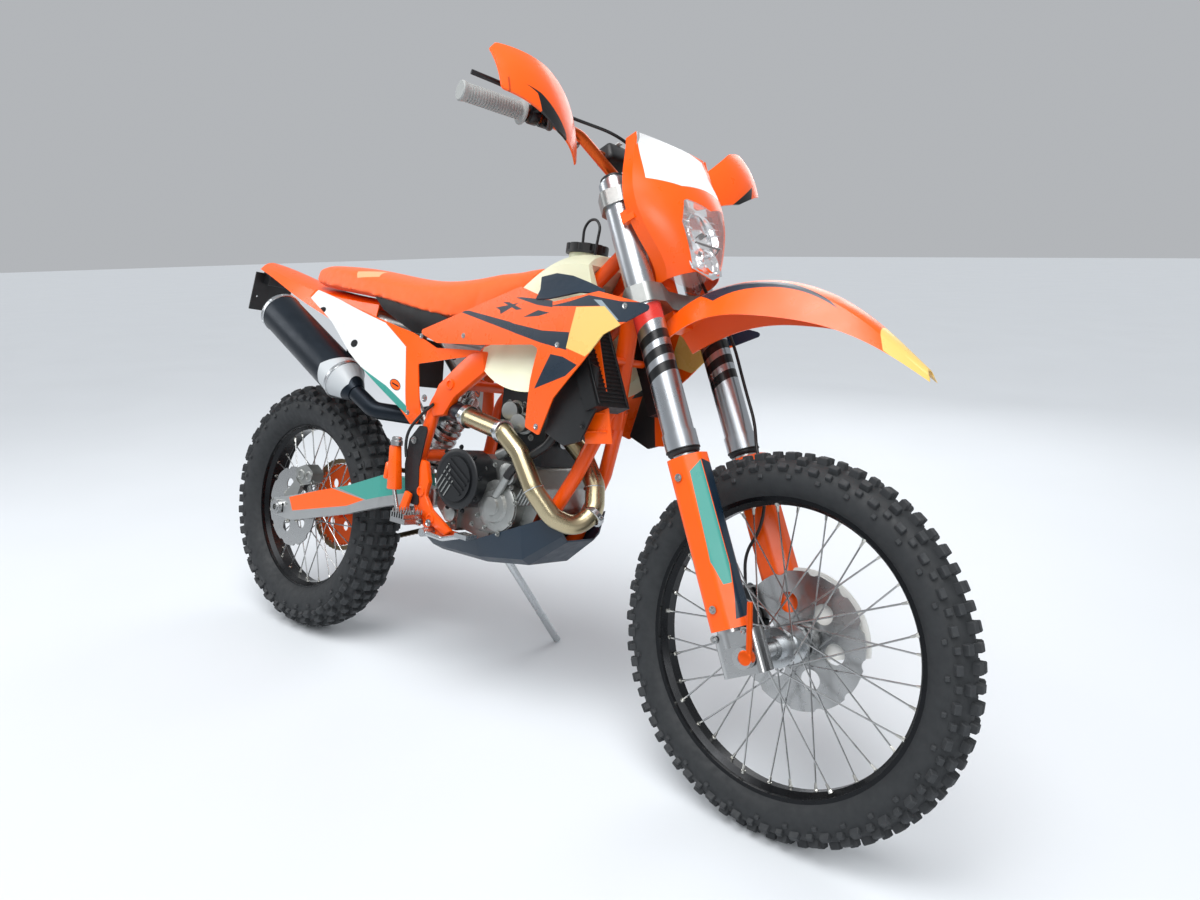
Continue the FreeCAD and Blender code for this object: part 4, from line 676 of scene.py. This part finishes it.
def tyre_point(t, half, crown, bead):
    """a point of the section, t degrees round from the crown, and its outward direction"""
    a = math.radians(t)
    drop = (1 - math.cos(a)) / (1 - math.cos(math.radians(tyre_edge)))
    place = Vector((0.0, half * math.sin(a), crown - (crown - bead) * drop))
    out = Vector((0.0, math.sin(a) * (crown - bead) / 2, math.cos(a) * half * 1.25))
    return place, out.normalized()


def casing(which, half, crown, bead):
    outer = [tyre_point(t, half, crown, bead)[0] for t in range(-tyre_edge, tyre_edge + 1, 10)]
    inner = [tyre_point(t, half - side_wall, crown - crown_wall, bead)[0] for t in range(140, -141, -20)]
    bm = bmesh.new()
    verts = [bm.verts.new(p) for p in outer + inner]
    edges = [bm.edges.new(pair) for pair in zip(verts, verts[1:] + verts[:1])]
    bmesh.ops.spin(bm, geom=verts + edges, cent=(0, 0, 0), axis=(0, 1, 0), angle=2 * math.pi, steps=120,
                   use_merge=True)
    return finish_piece(bm, which + "_tyre_casing", which + "_wheel", rubber,
                        wheel_axes[which])


wheel_axes = {"front": fork_axes, "rear": axes(rear_axle, forward, left, up)}
front_section, rear_section = (40.0, 340.0, 268.0), (60.0, 328.0, 230.0)    # half width, crown, bead
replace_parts(casing("front", *front_section), "front_tyre")
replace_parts(casing("rear", *rear_section), "rear_tyre")

# %% Blocks of rubber
root = 2.0                      # how deep a block's foot sits in the casing
worn = 0.86                     # top of a block against its foot


def blocks(which, section, pitches, rows):
    """rows: (degrees round the section, share of a pitch, length, width, height) in mm"""
    bm = bmesh.new()
    step = 360.0 / pitches
    for t, share, length, width, high in rows:
        for side in (SIDES if t else (1,)):
            place, out = tyre_point(t * side, *section)
            across = out.cross(Vector((1, 0, 0)))
            turn = Matrix((Vector((1, 0, 0)), across, out)).transposed().to_4x4()
            foot = Matrix.Translation(place + out * (high / 2 - root)) @ turn
            round_axle = Matrix.Rotation(math.radians(share * step), 4, "Y")
            block(bm, (length, width, high + 2 * root), round_axle @ foot, 1.3, worn)
    bmesh.ops.spin(bm, geom=bm.verts[:] + bm.edges[:] + bm.faces[:], cent=(0, 0, 0), axis=(0, 1, 0),
                   angle=math.radians(360 - step), steps=pitches - 1, use_duplicate=True)
    finish_piece(bm, which + "_tyre_blocks", which + "_wheel", block_rubber,
                 wheel_axes[which], smooth=False)


blocks("front", front_section, 34, [
    (11, 0.0, 21, 15, 11.5), (0, 0.5, 17, 17, 11.5), (34, 0.5, 20, 14, 11), (58, 0.0, 19, 13, 10),
    (58, 0.5, 13, 11, 8), (80, 0.25, 10, 9, 4.5)])
blocks("rear", rear_section, 30, [
    (12, 0.0, 24, 20, 13.5), (0, 0.5, 20, 20, 13.5), (25, 0.5, 23, 17, 13), (42, 0.0, 25, 18, 13),
    (62, 0.5, 24, 17, 11), (62, 0.0, 15, 12, 8), (84, 0.25, 12, 11, 5)])

# %% [markdown]
# ## Seat
# A dirt bike's seat is firm foam under a stretched cover with a fine grippy texture.
# The CAD solid gives its place and outline. It could be bevelled, but foam has no even edges,
# so the cover is remeshed and swelled a little by cloth pressure, and no point may move more than a few mm.

# %% Padded seat cover
def seen_mesh(piece):
    return bpy.data.meshes.new_from_object(piece.evaluated_get(bpy.context.evaluated_depsgraph_get()))


def swelled(piece, cap, pressure=4.0, frames=20):
    """the piece blown up from inside as cloth, no point further than cap in metres"""
    before = [v.co.copy() for v in piece.data.vertices]
    cloth = piece.modifiers.new("cloth", "CLOTH").settings
    cloth.use_pressure = True
    cloth.uniform_pressure_force = pressure
    cloth.effector_weights.gravity = 0.0
    for k in range(1, frames + 1):
        bpy.context.scene.frame_set(k)
    mesh = seen_mesh(piece)
    piece.modifiers.clear()
    bpy.context.scene.frame_set(1)
    for v, start_at in zip(mesh.vertices, before):
        move = v.co - start_at
        v.co = start_at + move * min(1.0, cap / max(move.length, 1e-9))
    return mesh


def upholstered(name, node, voxel, shrink, cap):
    """a cover over a node: shrunk, remeshed, swelled and smoothed; sizes in metres"""
    bm = bmesh.new()
    bm.from_mesh(nodes[node].data)
    bmesh.ops.remove_doubles(bm, verts=bm.verts, dist=1e-5)
    bm.normal_update()
    for v in bm.verts:
        v.co -= v.normal * shrink
    piece = new_object(name, mesh_from(bm, name))
    remesh = piece.modifiers.new("remesh", "REMESH")
    remesh.mode, remesh.voxel_size = "VOXEL", voxel
    mesh = seen_mesh(piece)
    piece.modifiers.clear()
    piece.data = mesh
    piece.data = swelled(piece, cap)
    bm = bmesh.new()
    bm.from_mesh(piece.data)
    for _ in range(4):
        bmesh.ops.smooth_vert(bm, verts=bm.verts, factor=0.5, use_axis_x=True, use_axis_y=True,
                              use_axis_z=True)
    for face in bm.faces:
        face.smooth = True
    bm.to_mesh(piece.data)
    bm.free()
    subdivide = piece.modifiers.new("subdivide", "SUBSURF")
    subdivide.levels = subdivide.render_levels = 1
    return piece


# The pale orange patch along the seat's upper edge at its rear is a painted highlight.
seat_painted_highlight = [("#E9A070", [(186, 996), (262, 1002), (280, 984), (206, 978)])]
seat_cloth = plain("orange_seat_cover", "#F25C04", "#E65204", (0.5, 0.66), 0.0, 30, 1.6, 0.12,
                   paint=(bike_axes, seat_painted_highlight), Sheen_Weight=0.15, Sheen_Roughness=0.5)
seat = upholstered("seat_cover", "seat", voxel=0.006, shrink=0.003, cap=0.005)
seat.data.materials.clear()
seat.data.materials.append(seat_cloth)
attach(seat, "chassis")
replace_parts(seat, "seat")
print("seat faces:", len(seat.data.polygons))

# %% [markdown]
# ## Wheels' small parts
# Each spoke ends in a nickel-plated nipple at the rim, and each disc hangs on six bolts.
# They are too small for CAD, but a bare rim looks unfinished. A nipple is two short cones on its spoke's
# line, so the spokes' pattern is worked out again, and each rim gets one fine machined line.

# %% Nipples, disc bolts and rim lines
spokes_in_family, spoke_swing, spoke_shift = 9, 64, 2.6     # number, degrees, mm
hub_reach, hub_half = 38.0, 26.0                            # where spokes leave the hub
disc_bolts, disc_bolt_reach = 6, 44.0


def turned(angle, radius, y):
    a = math.radians(angle)
    return Vector((radius * math.cos(a), y, radius * math.sin(a)))


def nipples(bm, bead, near):
    for side in SIDES:
        for way in (1, -1):
            for k in range(spokes_in_family):
                angle = 360.0 * (k + 0.25 * way + 0.5 * (side > 0)) / spokes_in_family
                outer = turned(angle + spoke_swing * way, bead - 12.0, side * (near + spoke_shift * way))
                inner = turned(angle, hub_reach, side * (hub_half + spoke_shift * way))
                along = (inner - outer).normalized()
                rod(bm, outer - along * 1.0, outer + along * 13.0, 3.4, 2.3, sides=6)
                rod(bm, outer - along * 3.0, outer + along * 2.0, 5.0, 4.0, sides=8)


def wheel_trim(which, bead, rim_half, near, disc_y):
    """spokes meet the rim near the middle by near mm; the disc's bolts show at disc_y"""
    bm = bmesh.new()
    nipples(bm, bead, near)
    for k in range(disc_bolts):
        spot = turned(360.0 * k / disc_bolts + 12, disc_bolt_reach, disc_y)
        bolt(bm, spot, (0, math.copysign(1, disc_y), 0), 5.0, 3.5)
    finish_piece(bm, which + "_wheel_nipples", which + "_wheel", nickel, wheel_axes[which],
                 smooth=False)
    bm = bmesh.new()
    low, high = bead + 9.5, bead + 11.2
    for side in SIDES:
        lathe(bm, (0, side * (rim_half - 0.5), 0), (0, side, 0),
              [(low, 0), (low, 1.6), (high, 1.6), (high, 0)], sides=96, closed=True)
    finish_piece(bm, which + "_rim_line", which + "_wheel", machined_alloy, wheel_axes[which])


# Nickel plating is warmer than steel and nearly mirror-bright.
nickel = plain("nickel_plated_brass", "#D5D4CE", "#BFBEB8", (0.16, 0.28), 1.0, 10, 0.4, 0.004)
wheel_trim("front", 266.7, 27.0, 7.0, 60.5)
wheel_trim("rear", 228.6, 34.0, 8.0, -76.5)

# %% [markdown]
# ## Grips
# A rubber grip is moulded with close ribs and a flange that keeps the thumb off the switch housing.
# A bump would fake the ribs, but they show against the sky, so the profile is drawn once and spun.

# %% Ribbed grips
bar_end, bar_bend = Vector((-98, 405, 1078)), Vector((-60, 220, 1052))
grip, rib_root = 17.0, 15.4         # radii
ribs, first_rib = 20, 8.0


def grip_profile(length):
    profile = [(11.6, 0.0), (24.0, 0.0), (25.0, 1.5), (24.0, 4.0), (grip, 6.0)]
    pitch = (length - 18.0) / ribs
    for k in range(ribs):
        a = first_rib + pitch * k
        profile += [(rib_root, a), (rib_root, a + pitch * 0.28), (grip, a + pitch * 0.4),
                    (grip, a + pitch * 0.9)]
    end = [(17.6, length - 8), (18.4, length - 6), (18.4, length - 2), (16.5, length), (0.0, length)]
    return profile + end


bm = bmesh.new()
for side in SIDES:
    near, far = (on_side(p, side) for p in (bar_bend.lerp(bar_end, 0.32), bar_end))
    lathe(bm, near, far - near, grip_profile((far - near).length + 1.0), sides=40)
grips = finish_piece(bm, "ribbed_grips", "front_fork", grip_rubber, fork_axes)
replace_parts(grips, "grips")

# %% [markdown]
# ## Headlamp
# Behind the clear front sits a chromed bowl that gathers the bulb's light, with a smaller one below it.
# A flat bright sheet would do from far off, but the bowl's curve is what gives the lamp its depth.
# Each bowl is a short profile spun about the beam, and a faceted chromed frame fills the rest of the window.

# %% Reflector with its frame
high_beam, low_beam = 790, 734          # heights up the fork
bm = bmesh.new()
window = [(-69, 850), (0, 832), (69, 850), (76, 800), (50, 716), (0, 697), (-50, 716), (-76, 800)]
sheet_of(bm, window, lambda y, u: (62 + (u - 700) * 0.04 - abs(y) * 0.12, y, u), (-3, 0, 0), 0.6)
lathe(bm, (58, 0, high_beam), (1, 0, 0),
      [(44, 12), (46, 14), (47, 10), (36, -6), (22, -18), (8, -24), (0, -25)])
lathe(bm, (60, 0, low_beam), (1, 0, 0), [(24, 9), (26, 10), (26, 6), (16, -3), (0, -7)], sides=36)
for k in range(5):
    for side in SIDES:
        block(bm, (3, 26 - k * 2, 2.2), put(70, (52 - k * 2.4) * side, 825 - k * 14), 0.5)
finish_piece(bm, "lamp_reflector", "front_fork", chrome, fork_axes)

# %% Bulb with its shade
bm = bmesh.new()
lathe(bm, (40, 0, high_beam), (1, 0, 0), [(0, 0), (9, 0), (9, 10), (6, 12), (6, 24), (5, 29), (0, 31)],
      sides=24)
for side in SIDES:
    rod(bm, (52, side * 9, high_beam), (72, side * 9, high_beam), 1.6, sides=10)
block(bm, (5, 84, 3), put(72, 0, 765))
finish_piece(bm, "lamp_bulb_and_shade", "front_fork", black_plastic, fork_axes)

# %% [markdown]
# ## Controls and fork details
# The bar carries a foam pad, the brake and clutch cylinders and a small display.
# The clamps are pinched by bolts, and rubber seals close the fork tubes where the legs slide in.
# CAD holds the levers and clamps. What it leaves out is blocks and turned rings, so each is one or two
# shapes set where the bar and the legs already are.

# %% Bar pad and display
bm = bmesh.new()
block(bm, (46, 190, 40), put(-50, 0, 1014), 9.0, 0.9, 3)
block(bm, (34, 62, 14), put(-92, 0, 968, 0.35), 3.0, 0.94, 2)
finish_piece(bm, "bar_pad_and_display", "front_fork", black_plastic, fork_axes)
bm = bmesh.new()
pad_top, film = 1035, 1.5
for y, wide, deep in ((-52, 14, 48), (52, 14, 48), (-30, 10, 30), (0, 10, 30), (30, 10, 30)):
    block(bm, (deep, wide, film), put(-50, y, pad_top), 0.5)
finish_piece(bm, "bar_pad_film", "front_fork", white_plastic, fork_axes)

# %% Hand cylinders and their cables
cable = 3.4
bm = bmesh.new()
for side in SIDES:
    spot = on_side(bar_bend.lerp(bar_end, 0.2), side)
    way = on_side((bar_end - bar_bend).normalized(), side)
    lathe(bm, spot - way * 9, way, [(11.5, 0), (17, 0), (18, 1.5), (18, 16.5), (17, 18), (11.5, 18)],
          sides=32, closed=True)
    block(bm, (30, 44, 20), Matrix.Translation(spot + Vector((26, -6 * side, 8))), 4.0, 0.92, 2)
    rod(bm, spot + Vector((26, -30 * side, 6)), spot + Vector((26, -52 * side, 0)), 8, 6)
    for y in (-15, 3):
        bolt(bm, spot + Vector((26, y * side, 18)), (0, 0, 1), 2.2, 1.6)
brake_line = [(-44, -214, 1046), (-30, -232, 1010), (-24, -224, 984), (-34, -196, 982), (-52, -160, 1016)]
clutch_line = [(-44, 214, 1046), (-30, 226, 1020), (-34, 190, 1004), (-60, 120, 990), (-84, 40, 976)]
wire(bm, brake_line, cable)
wire(bm, clutch_line, cable)
finish_piece(bm, "brake_and_clutch_cylinders", "front_fork", black_metal, fork_axes)

# %% Fork seals, caps and bolts
leg_back, leg_spread = -34, 104         # a leg from the front axle
tube_low, tube_high = 381, 941          # ends of the outer tubes
seal = [(24.4, -9), (27, -9), (30, -5), (30, -1), (32.5, 0), (32.5, 2), (24.4, 2)]
cap = [(0, 7), (9, 7), (10, 6), (10, 3), (23, 3), (24, 2), (24, -2), (0, -2)]
bm = bmesh.new()
for side in SIDES:
    lathe(bm, (leg_back, leg_spread * side, tube_low), (0, 0, 1), seal, closed=True)
    lathe(bm, (leg_back, leg_spread * side, tube_high), (0, 0, 1), cap)
finish_piece(bm, "fork_seals_and_caps", "front_fork", black_plastic, fork_axes)
bm = bmesh.new()
for side in SIDES:
    for u in (678, 696, 886, 902):
        bolt(bm, (-66, (leg_spread - 12) * side, u), (-0.6, 0.5 * side, 0), 4.2, 5)
    for f, y, u in ((-54, 131, 40), (11, 131, 43), (leg_back, 141, 90), (leg_back, 141, 330)):
        bolt(bm, (f, y * side, u), (0, side, 0))
    for y in (22, 42):
        bolt(bm, (-46, y * side, 975), (0, 0, 1), 4.2, 5)
finish_piece(bm, "fork_bolts", "front_fork", steel, fork_axes)

# %% Axle lever
bm = bmesh.new()
rod(bm, (42, -138, 88), (14, -140, 4), 5.0, 5.6, sides=20)
lathe(bm, (6, -128, 0), (0, -1, 0), [(0, 18), (10, 18), (13, 16), (14, 12), (14, 4), (9, 0), (0, 0)],
      sides=32)
finish_piece(bm, "axle_lever", "front_fork", orange_anodised, fork_axes)

# %% [markdown]
# ## Thin panels
# Dark covers close the gap between tank and shrouds, ribbed orange ducts lead air to the radiators,
# and a black strip fills the gap between the seat and the side panels.
# They could be cut from the big panels, but each is a moulding of its own: an outline from the side view,
# laid on its surface, pushed out to a wall and bevelled.

# %% Tank covers
def shroud_y(x, z):
    """how far out the shroud's face lies"""
    return 118 + max(0.0, x - 480) * 0.11 - max(0.0, 800 - z) * 0.12


bm = bmesh.new()
cover = [(906, 984), (946, 993), (999, 987), (1060, 972), (1112, 957), (1118, 948), (1048, 951), (975, 936),
         (936, 934), (930, 955)]
for side in SIDES:
    sheet_of(bm, cover, lambda x, z: (x, side * (shroud_y(x, z) - (z - 940) * 0.75 + 2), z),
             (0, -5 * side, -2), 1.0)
finish_piece(bm, "tank_covers", "chassis", navy_plastic, bike_axes)

# %% Air ducts with their ribs
bm = bmesh.new()
duct = [(1036, 866), (1066, 872), (1098, 770), (1126, 668), (1064, 660), (1044, 760)]
rib_pitch = 36
for side in SIDES:
    sheet_of(bm, duct, lambda x, z: (x, side * (124 - (x - 1040) * 0.12), z), (0, -3 * side, 0), 0.8)
    for k in range(5):
        rod(bm, (1060 + k * 2, side * 123, 684 + k * rib_pitch),
            (1112 - k * 11, side * 117, 690 + k * rib_pitch), 1.8, sides=8)
finish_piece(bm, "radiator_ducts", "chassis", orange_plastic, bike_axes)

# %% Covers beside the radiators and strips under the seat
bm = bmesh.new()
side_cover = [(1048, 829), (1092, 812), (1100, 731), (1071, 665), (1029, 650), (975, 671), (1000, 780)]
cover_y, strip_y = 147, 84
for side in SIDES:
    sheet_of(bm, side_cover, lambda x, z: (x, side * cover_y, z), (0, -8 * side, 0), 2.0)
    for k in range(3):
        bolt(bm, (1062 + k * 6, side * cover_y, 800 - k * 52), (0, side, 0), 4.5, 3)
finish_piece(bm, "radiator_side_covers", "chassis", black_plastic, bike_axes)
bm = bmesh.new()
strip = [(280, 940), (379, 938), (600, 884), (560, 846), (454, 850), (330, 900)]
for side in SIDES:
    sheet_of(bm, strip, lambda x, z: (x, side * strip_y, z), (0, -3 * side, 0), 0.8)
finish_piece(bm, "under_seat_strips", "chassis", black_plastic, bike_axes)

# %% [markdown]
# ## Radiators
# Each radiator's front shows a core of flat tubes and folded fins behind the duct.
# Stripes in a material would look painted on, so the slats are one thin bar copied up the core,
# drawn on the steering head's own axes before the bars were turned.

# %% Radiator cores
rest_steer = math.radians(2.0)
core_face, core_middle, slat_pitch = -165.2, 106, 8.8
steer_at = Matrix.Translation(Vector(joints["steering"]["pos_m"]))
head_axes = steer_at @ Matrix.Rotation(rest_steer, 4, steer_line) @ steer_at.inverted() @ fork_axes
bm = bmesh.new()
for side in SIDES:
    for k in range(24):
        block(bm, (3.0, 92, 2.6), put(core_face, core_middle * side, 524 + k * slat_pitch), 0.5)
    for y in (core_middle - 44, core_middle + 44):
        block(bm, (5.0, 5, 216), put(core_face - 0.3, y * side, 624))
finish_piece(bm, "radiator_cores", "chassis", radiator_core, head_axes, smooth=False)

# %% [markdown]
# ## Engine details
# The right side shows the clutch cover with its ribs, the water pump, oil filter cap and rows of bolts.
# One carved block could hold them all, but they are turned parts on one axis each,
# so profiles are spun, and the bolts repeat one small shape.

# %% Clutch cover's ring
RIGHT = (0, -1, 0)
clutch, bolt_circle = Vector((730, -146, 536)), 71
bm = bmesh.new()
lathe(bm, clutch, RIGHT, [(64, -6), (67, -5), (67.5, -2), (64.5, 0.8), (56, 1.6), (52, 0.6)], sides=72)
for k in range(9):
    a = math.radians(k * 40 + 10)
    bolt(bm, clutch + Vector((bolt_circle * math.cos(a), 8, bolt_circle * math.sin(a))), RIGHT, 4.0)
finish_piece(bm, "clutch_cover_ring", "chassis", black_metal, bike_axes)

# %% Pump, caps, ribs and bolts of the cases
pump, filter_cap, drain_cap = Vector((826, -104, 492)), (852, -106, 566), (690, -112, 452)
case_face, head_face = -110, -66
bm = bmesh.new()
for k in range(4):
    rib = clutch + Vector((-38 + k * 7.5, -6.2, 4 - k * 9))
    block(bm, (3.4, 1.6, 66 - k * 7), put(*rib, math.radians(34)), 0.6)
lathe(bm, pump, RIGHT, [(56, 0), (56, 5), (52, 8), (38, 10), (34, 17), (22, 19), (20, 24), (10, 26), (0, 26)],
      sides=64)
lathe(bm, filter_cap, RIGHT, [(24, 0), (24, 9), (20, 12), (8, 12), (7, 15), (0, 15)], sides=40)
lathe(bm, drain_cap, RIGHT, [(20, 0), (20, 8), (16, 11), (0, 11)], sides=40)
rod(bm, pump + Vector((6, -14, 24)), pump + Vector((40, -22, 70)), 10, 9)
rod(bm, (800, -90, 600), (846, -96, 622), 12, 10)
for x, z in ((774, 462), (800, 440), (842, 434), (876, 462), (884, 508), (868, 540), (782, 566), (812, 580),
             (700, 430), (664, 452), (650, 486), (760, 440)):
    bolt(bm, (x, case_face, z), RIGHT, 4.2)
for k in range(5):
    block(bm, (4, 8, 44 - k * 4), put(880 + k * 9, -100, 520, 0.5), 1.2)
plug = [(22, -10), (24, 0), (24, 6), (18, 9), (16, 24), (20, 26), (20, 32), (11, 34), (0, 34)]
for at in ((812, -62, 700), (845, head_face, 676)):
    lathe(bm, at, (0.2, -1, 0), plug, sides=32)
for x, z in ((790, 716), (836, 716), (790, 664), (866, 700), (866, 648)):
    bolt(bm, (x, head_face, z), RIGHT, 5.0, 5)
finish_piece(bm, "water_pump_and_caps", "chassis", cast_alloy, bike_axes)

# %% Coolant hoses
bm = bmesh.new()
wire(bm, [(866, -126, 562), (884, -128, 590), (930, -118, 620), (968, -112, 650), (982, -108, 690)], 9.5)
wire(bm, [(905, 20, 770), (930, 10, 800), (962, -40, 806), (990, -80, 800)], 10)
wire(bm, [(560, -150, 560), (548, -152, 600), (566, -140, 650), (600, -120, 690)], 3.6)
finish_piece(bm, "coolant_hoses", "chassis", hose_rubber, bike_axes)

# %% [markdown]
# ## Exhaust details
# The bent header meets the cylinder in a flanged collar and the mid pipe in a slotted clamp.
# The silencer's rear ring is riveted, and its outlet is a short pipe with a screen.
# Widening the pipes themselves would bulge them, so each collar is a ring spun about the pipe's own line.

# %% Collars and clamps
header = 20
collars = (     # place, direction of the pipe, radius, width
    ((922, -4, 655), (44, 0, -30), 27, 9), ((1030, -26, 505), (-6, -36, -30), 24.5, 12),
    ((842, -130, 656), (-60, 8, -2), 24.5, 14), ((948, -128, 548), (-48, -8, 72), 22.4, 2.5),
    ((1012, -10, 560), (20, -14, -50), 22.4, 2.5), ((704, -106, 673), (-60, 6, 10), 25, 16))
bm = bmesh.new()
for at, along, radius, wide in collars:
    at, along = Vector(at), Vector(along).normalized()
    lathe(bm, at - along * wide / 2, along, [
        (header, 0), (radius, 0), (radius + 1, 1), (radius + 1, wide - 1), (radius, wide), (header, wide)],
        closed=True)
    if wide > 8:
        side = along.cross(Vector((0, 0, 1))).normalized()
        outward = side * math.copysign(1, -side.y)
        bolt(bm, at + outward * (radius + 1), outward, 4, 5)

# %% Rings and rivets of the silencer
can_start, can_end, can = Vector((250, -120, 712)), Vector((-70, -124, 872)), 54.5
line = (can_end - can_start).normalized()
lathe(bm, can_end - line * 12, line, [(can, 0), (56, 1), (56, 11), (54, 14), (48, 16), (44, 14)], sides=72)
flat = line.cross(Vector((0, 1, 0))).normalized()
for k in range(10):
    a = math.radians(k * 36)
    out = Vector((0, 1, 0)) * math.cos(a) + flat * math.sin(a)
    lathe(bm, can_end - line * 6 + out * (can + 1), out, [(3.4, 0), (3.2, 1.2), (1.6, 2.0), (0, 2.1)],
          sides=10)
lathe(bm, can_start - line * 2, line, [(can, 0), (can + 1, 1), (can + 1, 9), (can, 10)], sides=72)
finish_piece(bm, "exhaust_rings", "chassis", machined_alloy, bike_axes)
bm = bmesh.new()
lathe(bm, can_end, line, [(44, 2), (40, 8), (24, 13), (22, 20), (19, 20), (19, -2), (0, -2)], sides=56)
finish_piece(bm, "silencer_outlet", "chassis", black_can, bike_axes)

# %% [markdown]
# ## Cast parts of the frame
# Beside its tubes the frame has flat forged pieces: a spar under the tank's rear edge, and a bracket low down
# that carries the peg and the pedal. More tubes would look thin there,
# so they are outlines with a thick rounded wall, painted with the frame.

# %% Spars and peg brackets
spar_y, bracket_y = 119, 128
spar = [(742, 822), (752, 776), (664, 712), (634, 668), (598, 660), (584, 690), (606, 736), (664, 786),
        (700, 814)]
bracket = [(572, 560), (604, 556), (620, 511), (612, 478), (636, 450), (708, 414), (690, 399), (623, 422),
           (578, 452), (568, 495), (580, 530)]
boss = [(13, 0), (12, 4), (8, 5), (7, 2), (0, 2)]
bm = bmesh.new()
for side in SIDES:
    sheet_of(bm, spar, lambda x, z: (x, side * spar_y, z), (0, -22 * side, 0), 5.0)
    sheet_of(bm, bracket, lambda x, z: (x, side * bracket_y, z), (0, -14 * side, 0), 4.0)
    for x, z, face in ((648, 740, spar_y), (598, 486, bracket_y), (640, 430, bracket_y)):
        lathe(bm, (x, side * (face - 1), z), (0, side, 0), boss, sides=28)
finish_piece(bm, "frame_cast_parts", "chassis", powder_orange, bike_axes)

# %% [markdown]
# ## Brake calipers
# Each caliper is a small casting with round piston bores, two slide pins and a bleed nipple.
# The CAD solid gives its body. Engraving it would change a mesh that stays as it is,
# so the bores, pins and hose end are turned pieces set on its outer face.

# %% Caliper and axle details
def bore(size):
    """a piston's housing: a raised ring round a shallow hollow"""
    return [(size, 0), (size, 4), (size - 3, 6), (size - 5, 6), (size - 6, 3), (0, 3)]


front_face, rear_face = 76, -86
bm = bmesh.new()
for u in (96, 52):
    lathe(bm, (-96, front_face, u), (0, 1, 0), bore(17), sides=32)
for u in (22, 120):
    bolt(bm, (-84, front_face, u), (0, 1, 0), 5.0, 5)
rod(bm, (-118, 60, 112), (-126, 60, 126), 4, 3, sides=12)
finish_piece(bm, "front_caliper_details", "front_fork", machined_alloy, fork_axes)
bm = bmesh.new()
for x in (50, 86):
    lathe(bm, (x, rear_face, 438), RIGHT, bore(15), sides=32)
for x in (32, 104):
    bolt(bm, (x, rear_face + 2, 424), RIGHT, 4.5, 5)
lathe(bm, (0, -118, rear_radius), RIGHT, [(19, 0), (19, 2), (16, 5), (8, 6), (7, 2), (0, 2)], sides=32)
for x, z in ((-36, 352), (34, 356), (-36, 330)):
    bolt(bm, (x, -112, z), RIGHT, 4.5, 5)
finish_piece(bm, "rear_caliper_and_axle_details", "chassis", cast_alloy, bike_axes)

# %% [markdown]
# ## Brake cylinder, pegs and panel bolts
# The foot brake's cylinder stands beside the frame with its own guard, the pegs have rows of teeth for the
# boots, and plain flange bolts hold every panel. A picture of bolts would stay flat in raking light,
# so one bolt shape serves them all.

# %% Foot controls
bm = bmesh.new()
block(bm, (34, 22, 104), put(520, -148, 530, -0.12), 4.0, 0.8, 2)
block(bm, (12, 26, 40), put(500, -148, 520), 3.0, 0.8)
block(bm, (26, 14, 70), put(560, -140, 446, 0.3), 4.0, 0.8, 2)
finish_piece(bm, "brake_cylinder_guard", "chassis", orange_plastic, bike_axes)
peg_top, tooth, tooth_pitch = 436, 10, 7.8
teeth = [(x, 138 + k * tooth_pitch) for k in range(7) for x in (576, 620)]
teeth += [(x, y) for y in (138, 186) for x in (590, 606)]
bm = bmesh.new()
lathe(bm, (518, -148, 582), (0, 0, 1), [(0, 20), (9, 20), (12, 17), (12, 12), (14, 10), (14, 0), (0, 0)],
      sides=32)
rod(bm, (528, -150, 480), (548, -150, 430), 5)
for side in SIDES:
    for x, y in teeth:
        rod(bm, (x, side * y, peg_top), (x, side * y, peg_top + tooth), 3.2, 0.8, sides=6)
finish_piece(bm, "peg_teeth_and_cylinder_top", "chassis", steel, bike_axes, smooth=False)

# %% Bolts of the panels
on_shroud = ((536, 842), (700, 850), (1010, 846), (960, 680), (1180, 926))
on_panel = ((528, 661, 134), (196, 906, 122), (470, 838, 126))
on_frame = ((640, 420), (580, 700), (560, 600))
bm = bmesh.new()
for side in SIDES:
    for x, z in on_shroud:
        bolt(bm, (x, side * (shroud_y(x, z) - 0.6), z), (0, side, 0), 4.2, 2.2)
    for x, z, y in on_panel:
        bolt(bm, (x, side * y, z), (0, side, 0), 4.4, 2.4)
    for x, z in on_frame:
        bolt(bm, (x, side * 132, z), (0, side, 0), 6.0)
finish_piece(bm, "panel_bolts", "chassis", steel, bike_axes)
